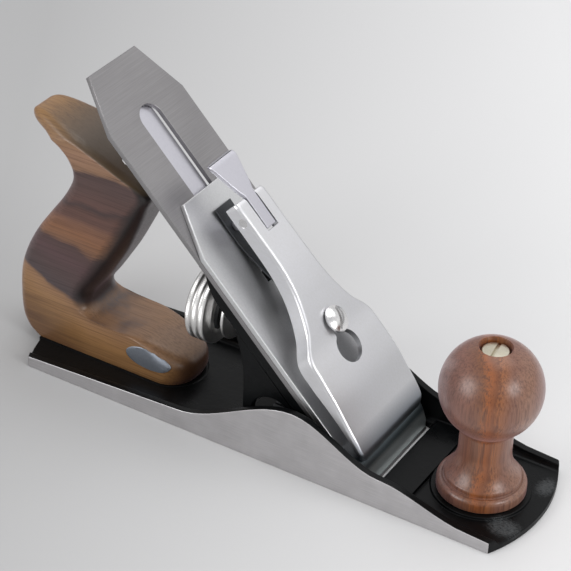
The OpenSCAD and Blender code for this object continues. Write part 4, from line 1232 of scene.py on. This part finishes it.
@dataclass
class Tote:
    """The wooden rear handle, its rod and nut, and the bare label on its foot.

    Each row holds the back and the front point of a section, from foot_x and foot_z, and the roundness of its back
    and front edges. The sections run from the seat of the foot up to the tip of the horn.
    """

    foot_x: float = -117.0
    foot_z: float = 3.2
    width: float = 28.0
    edge: float = 5.0
    rod_x: float = 8.0
    rod_lean: float = math.radians(18.4)
    rod_hole_r: float = 3.0
    nut_h: float = 100.5
    nut_depth: float = 10.0
    nut_r: float = 5.6
    nut_gap: float = 0.2
    label_at: tuple[float, float] = (-60.1, 13.4)
    label_size: tuple[float, float] = (11.7, 5.1)
    label_t: float = 0.4
    rows: list[tuple[float, ...]] = field(default_factory=lambda: [
        (-4, 0, 72.5, 0, 1, 2.4), (-8, 3, 74, 4, 1, 2.4), (-10.4, 7.5, 72.4, 9.8, 1, 2.2),
        (-11.2, 12, 64, 14.2, 1, 1.6), (-11.5, 16.5, 52, 17.6, 1, 1.2), (-11.5, 21, 40, 17.7, 1, 1.1),
        (-11.4, 26, 29, 18.3, 1, 1.1), (-10.8, 31.5, 23.4, 21.4, 1, 1.3), (-9.2, 38, 23.8, 28, 1, 1.6),
        (-5.8, 46.2, 29.2, 36, 1, 1.9), (-1.2, 54.6, 34.6, 44.6, 1, 2), (5.2, 64, 39.6, 53, 1, 2),
        (10.8, 72, 44, 61.8, 1, 1.9), (15, 79.4, 48, 70.6, 1, 1.7), (16.8, 84.6, 51.6, 79, 1, 1.4),
        (16.7, 89, 54.4, 86, 0.9, 1.1), (14.9, 93.2, 50.6, 90.8, 0.8, 0.9), (12.8, 96, 41, 95, 0.7, 0.9),
        (9.8, 98.3, 30, 99.6, 0.7, 0.9), (6.4, 99.8, 19, 104.2, 0.7, 0.9), (2.6, 100.9, 8, 107.6, 0.7, 0.8),
        (-1.6, 102, -1.2, 109, 0.6, 0.7), (-4.8, 103.6, -5.2, 108, 0.35, 0.4), (-6, 105, -6.6, 106.2, 0.1, 0.1),
    ])

    def section(self, u: float) -> list[Point]:
        """One section of the tote, a rounded rectangle across its thickness.

        Args:
            u: Place among the rows, from 0 at the seat to the tip of the horn.

        Returns:
            Points round the section.
        """
        rows = [(i, *row) for i, row in enumerate(self.rows)]
        back = Vector([smooth_read(rows, u, k) for k in (1, 2)])
        front = Vector([smooth_read(rows, u, k) for k in (3, 4)])
        wide = (front - back).length
        way = (front - back) / wide
        tip = min(1.0, 0.35 + (len(rows) - 1 - u) * 0.16)
        half = self.width / 2 * tip
        round_back = min(self.edge * smooth_read(rows, u, 5), 0.46 * wide)
        round_front = min(self.edge * smooth_read(rows, u, 6), 0.46 * wide)
        points = []
        for near, reach, start in ((False, round_front, 0), (True, round_back, 90), (True, round_back, 180),
                                   (False, round_front, 270)):
            side = min(reach, half - 0.5)
            for step in range(10):
                angle = math.radians(start + step * 10)
                along = (reach if near else wide - reach) + reach * math.cos(angle)
                sign = 1 if start < 180 else -1
                across = sign * (half - side) + side * math.sin(angle)
                spot = back + way * along
                points.append((self.foot_x + spot.x, -across, self.foot_z + spot.y))
        return points

    def rod_matrix(self) -> Matrix:
        """Places the leaning rod.

        Returns:
            The matrix from the rod's own axes to the millimetre frame.
        """
        return Matrix.Translation((self.foot_x + self.rod_x, 0, self.foot_z)) @ Matrix.Rotation(self.rod_lean, 4, "Y")

    def build(self, finishes: Finishes) -> None:
        """Makes the handle, its nut and the label.

        Args:
            finishes: Materials of the plane.
        """
        work = Work()
        last = len(self.rows) - 1
        work.loft([self.section(last * i / 110) for i in range(111)])
        self.label(work, finishes)
        nut_low = self.nut_h - self.nut_depth
        recess, bore = Work(), Work()
        recess.rod((0, 0, nut_low), (0, 0, 1), 40, self.nut_r + self.nut_gap, 64)
        bore.rod((0, 0, -5), (0, 0, 1), self.nut_h, self.rod_hole_r, 40)
        for tool in (recess, bore):
            tool.move(self.rod_matrix())
            work.cut(tool)
        work.piece("wooden_tote", "base", Slot.WOOD, (finishes.tote_wood,), ("tote",), sharp=50)
        slotted_nut(
            "tote_slotted_nut", "base", "tote_nut", self.rod_matrix() @ Matrix.Translation((0, 0, nut_low)),
            self.nut_r, self.nut_depth - 2, 0, finishes.bright_nickel,
        )
        dress("tote_rod", finishes.bright_nickel)

    def label(self, wood: Work, finishes: Finishes) -> None:
        """Lays the thin bare oval label on the near side of the foot, bent to the wood.

        Args:
            wood: The handle that it lies on.
            finishes: Materials of the plane.
        """
        tree = BVHTree.FromBMesh(wood.bm)
        rings = [(share, self.label_t) for share in (0.05, 0.3, 0.55, 0.8, 0.96)]
        rings += [(1.0, self.label_t - 0.15), (1.0, -0.1), (0.5, -0.1), (0.05, -0.1)]
        sections = []
        for share, lift in rings:
            ring = []
            for i in range(56):
                angle = math.tau * i / 56
                x = self.label_at[0] + self.label_size[0] * share * math.cos(angle)
                z = self.label_at[1] + self.label_size[1] * share * math.sin(angle)
                spot, normal, _, _ = tree.find_nearest(Vector((x, -self.width / 2 - 2, z)))
                ring.append(tuple(spot + normal * lift))
            sections.append(ring)
        work = Work()
        work.loft(sections)
        work.piece("bare_oval_label", "base", Slot.STEEL, (finishes.label_metal,), sharp=30)


def slotted_nut(
    name: str, body: str, node: str, matrix: Matrix, radius: float, height: float, turn: float,
    material: bpy.types.Material,
) -> None:
    """Turns a round nut with a sawn slot and a softened rim.

    Args:
        name: Name of the piece.
        body: CAD body that it rides on.
        node: CAD node that it replaces.
        matrix: Place of its lower end.
        radius: Radius of the nut.
        height: Height of the nut.
        turn: Direction of the slot in degrees.
        material: Its material.
    """
    crown = [(0.0, height), (radius * 0.5, height - 0.05), (radius - 0.5, height - 0.25)]
    rim = arc((radius - 0.6, height - 0.85), 0.6, 70, 0, 5)
    work = Work()
    work.turn(crown + rim + [(radius, 0.3), (radius - 0.3, 0.0), (2.6, 0.0), (2.6, height - 3), (0.0, height - 3)], 72)
    slot = Work()
    slot.block((-radius - 2, -0.7, height - 1.4), (radius + 2, 0.7, height + 2))
    slot.move(Matrix.Rotation(math.radians(turn), 4, "Z"))
    work.cut(slot)
    work.move(matrix)
    work.piece(name, body, Slot.NICKEL, (material,), (node,), sharp=30)


@dataclass
class Knob:
    """The turned front knob with its rod and nut."""

    x: float = 90.2
    z: float = 4.2
    ball_r: float = 20.8
    ball_h: float = 48.5
    foot_r: float = 18.2
    foot_h: float = 6.0
    foot_edge: float = 2.6
    waist_r: float = 10.7
    cove_r: float = 18.0
    cove_h: float = 20.0
    fillet_r: float = 4.0
    cut_h: float = 68.1
    nut_h: float = 61.6
    nut_r: float = 5.6
    nut_t: float = 5.0
    nut_turn: float = -82.0
    recess_r: float = 6.5

    def profile(self) -> list[tuple[float, float]]:
        """Draws the knob's outside.

        Returns:
            Radius and height of the points from the foot's middle to the middle of the nut's recess.
        """
        reach = self.ball_r + self.fillet_r
        fillet_x = self.waist_r + self.fillet_r
        drop = math.sqrt(reach * reach - fillet_x * fillet_x)
        fillet_z = self.ball_h - drop
        lean = math.degrees(math.atan2(drop, -fillet_x))
        side = self.foot_r - self.foot_edge
        points = [(0.0, 0.0), (self.foot_r - 0.5, 0.0), (self.foot_r, 0.5)]
        points += [(self.foot_r, self.foot_h - self.foot_edge - 0.5)]
        points += arc((side, self.foot_h - self.foot_edge), self.foot_edge, 0, 66, 9)
        # A fine bead line where the foot meets the bell of the stem
        points += [(side + 0.55, self.foot_h - 0.22), (side + 0.2, self.foot_h - 0.4), (side - 0.3, self.foot_h - 0.1),
                   (side, self.foot_h + 0.35)]
        cove_start = math.degrees(math.acos((self.waist_r + self.cove_r - side) / self.cove_r))
        points += arc((self.waist_r + self.cove_r, self.cove_h), self.cove_r, 180 + cove_start, 180, 22)
        points += arc((fillet_x, fillet_z), self.fillet_r, 180, lean, 10)
        ball_start = math.degrees(math.atan2(fillet_z - self.ball_h, fillet_x))
        ball_stop = math.degrees(math.asin((self.cut_h - 0.3 - self.ball_h) / self.ball_r))
        points += arc((0, self.ball_h), self.ball_r, ball_start, ball_stop, 56)[1:]
        points += [(self.recess_r + 0.35, self.cut_h), (self.recess_r, self.cut_h - 0.35)]
        points += [(self.recess_r, self.nut_h), (0.0, self.nut_h)]
        return points

    def build(self, finishes: Finishes) -> None:
        """Turns the knob and its nut.

        Args:
            finishes: Materials of the plane.
        """
        work = Work()
        work.turn(self.profile(), 128)
        work.move(Matrix.Translation((self.x, 0, self.z)))
        work.piece("turned_knob", "base", Slot.WOOD, (finishes.knob_wood,), ("knob",), sharp=50)
        slotted_nut(
            "knob_slotted_nut", "base", "knob_nut", Matrix.Translation((self.x, 0, self.z + self.nut_h)),
            self.nut_r, self.nut_t, self.nut_turn, finishes.warm_nickel,
        )
        dress("knob_rod", finishes.bright_nickel)


@dataclass
class Studio:
    """Pale floor, soft lights and the camera at the photograph's angle."""

    azimuth: float = math.radians(29.854)
    elevation: float = math.radians(33.844)
    roll: float = math.radians(2.559)
    distance: float = 916.10
    focal_px: float = 2237.37
    right_mm: float = -3.295
    up_mm: float = 29.819
    look_z: float = 30.0
    painted_light_fade: float = 0.14

    def axes(self) -> tuple[Vector, Vector, Vector]:
        """Works out the camera's directions before its roll.

        Returns:
            Its right, up and backward directions.
        """
        sa, ca = math.sin(self.azimuth), math.cos(self.azimuth)
        se, ce = math.sin(self.elevation), math.cos(self.elevation)
        return Vector((ca, sa, 0)), Vector((-sa * se, ca * se, ce)), Vector((sa * ce, -ca * ce, se))

    def camera(self) -> None:
        """Sets the camera."""
        right, up, back = self.axes()
        spot = Vector((0, 0, self.look_z)) + back * self.distance + right * self.right_mm + up * self.up_mm
        cr, sr = math.cos(self.roll), math.sin(self.roll)
        turn = Matrix((right * cr + up * sr, up * cr - right * sr, back)).transposed()
        data = bpy.data.cameras.new("camera")
        data.sensor_width = 36
        data.lens = self.focal_px * data.sensor_width / IMAGE_SIDE
        data.clip_start, data.clip_end = 0.05, 50
        camera = bpy.data.objects.new("camera", data)
        camera.matrix_world = Matrix.Translation(spot * MM) @ turn.to_4x4()
        bpy.context.scene.collection.objects.link(camera)
        bpy.context.scene.camera = camera

    def floor(self) -> None:
        """Lays the pale floor, lighter towards the toe: a painted light falloff, brighter towards the camera's right.
        """
        bm = bmesh.new()
        bmesh.ops.create_grid(bm, x_segments=1, y_segments=1, size=6)
        mesh = bpy.data.meshes.new("floor")
        bm.to_mesh(mesh)
        bm.free()
        material = bpy.data.materials.new("matt pale board")
        material.use_nodes = True
        tree = material.node_tree
        shader = tree.nodes["Principled BSDF"]
        place = add_node(tree, "ShaderNodeTexCoord")
        right = self.axes()[0]
        along = add_node(
            tree, "ShaderNodeVectorMath", {0: place.outputs["Object"], 1: tuple(right)}, operation="DOT_PRODUCT"
        )
        share = add_node(
            tree, "ShaderNodeMapRange", {"Value": along.outputs["Value"], "From Min": -self.painted_light_fade, "From Max": self.painted_light_fade}
        )
        # Painted light: the tint grows lighter towards the camera's right, as a falloff of the lamps would
        tint = add_node(
            tree, "ShaderNodeValToRGB", {"Fac": share.outputs["Result"]}, stops=((0.0, "#b4b4b4"), (1.0, "#e6e6e6"))
        )
        tree.links.new(tint.outputs["Color"], shader.inputs["Base Color"])
        shader.inputs["Roughness"].default_value = 0.9
        shader.inputs["Specular IOR Level"].default_value = 0.1
        mesh.materials.append(material)
        item = bpy.data.objects.new("floor", mesh)
        bpy.context.scene.collection.objects.link(item)

    def lamp(self, name: str, way: Vector, distance: float, size: float, power: float) -> None:
        """Hangs a square soft light that looks at the plane.

        Args:
            name: Name of the light.
            way: Direction from the plane to the light.
            distance: Distance in metres.
            size: Side of the light in metres.
            power: Power in watts.
        """
        data = bpy.data.lights.new(name, "AREA")
        data.shape, data.size, data.energy = "SQUARE", size, power
        item = bpy.data.objects.new(name, data)
        way = way.normalized()
        item.matrix_world = (
            Matrix.Translation(Vector((0, 0, 0.05)) + way * distance) @ way.to_track_quat("Z", "Y").to_matrix().to_4x4()
        )
        bpy.context.scene.collection.objects.link(item)

    def lights(self) -> None:
        """Hangs the soft boxes and sets the pale surroundings, brighter on the right and grey below the horizon."""
        right, _, back = self.axes()
        self.lamp("left soft box", back * 0.58 - right * 0.8, 1.5, 0.8, 9)
        self.lamp("right soft box", back * 0.73 + right * 0.67, 1.6, 0.6, 7)
        self.lamp("overhead soft box", Vector((0.1, 0.25, 1)), 1.5, 1.2, 8)
        world = bpy.data.worlds.new("pale studio")
        world.use_nodes = True
        tree = world.node_tree
        backdrop = tree.nodes["Background"]
        place = add_node(tree, "ShaderNodeTexCoord")
        axes = add_node(tree, "ShaderNodeSeparateXYZ", {"Vector": place.outputs["Generated"]})
        height = add_node(
            tree, "ShaderNodeMapRange", {"Value": axes.outputs["Z"], "From Min": -0.2, "From Max": 1.0}
        )
        rise = add_node(
            tree, "ShaderNodeValToRGB", {"Fac": height.outputs["Result"]},
            stops=((0.0, "#7c7c7e"), (0.2, "#8a8a8c"), (0.38, "#dededf"), (0.52, "#ffffff"), (0.75, "#f2f2f4"),
                   (1.0, "#c8c8cc")),
        )
        along = add_node(
            tree, "ShaderNodeVectorMath", {0: place.outputs["Generated"], 1: tuple(right)}, operation="DOT_PRODUCT"
        )
        share = add_node(
            tree, "ShaderNodeMapRange",
            {"Value": along.outputs["Value"], "From Min": -1.0, "From Max": 0.85, "To Min": 0.6, "To Max": 1.0},
        )
        tint = add_node(
            tree, "ShaderNodeMix", {"Factor": 1.0, "A": rise.outputs["Color"], "B": share.outputs["Result"]},
            data_type="RGBA", blend_type="MULTIPLY",
        )
        tree.links.new(tint.outputs["Result"], backdrop.inputs["Color"])
        backdrop.inputs["Strength"].default_value = 0.95
        bpy.context.scene.world = world
        bpy.context.scene.view_settings.view_transform = "Standard"

    def build(self) -> None:
        """Sets camera, floor and lights."""
        self.camera()
        self.floor()
        self.lights()


def main() -> None:
    """Builds the plane in order."""
    logging.basicConfig(level=logging.INFO, format="%(message)s")
    Studio().build()
    finishes = Finishes()
    for part in (Casting(), FrogUnit(), Adjusters(), Cutter(), LeverCap(), Tote(), Knob()):
        part.build(finishes)
        LOG.info("%s done", type(part).__name__)


if __name__ == "__main__":
    main()
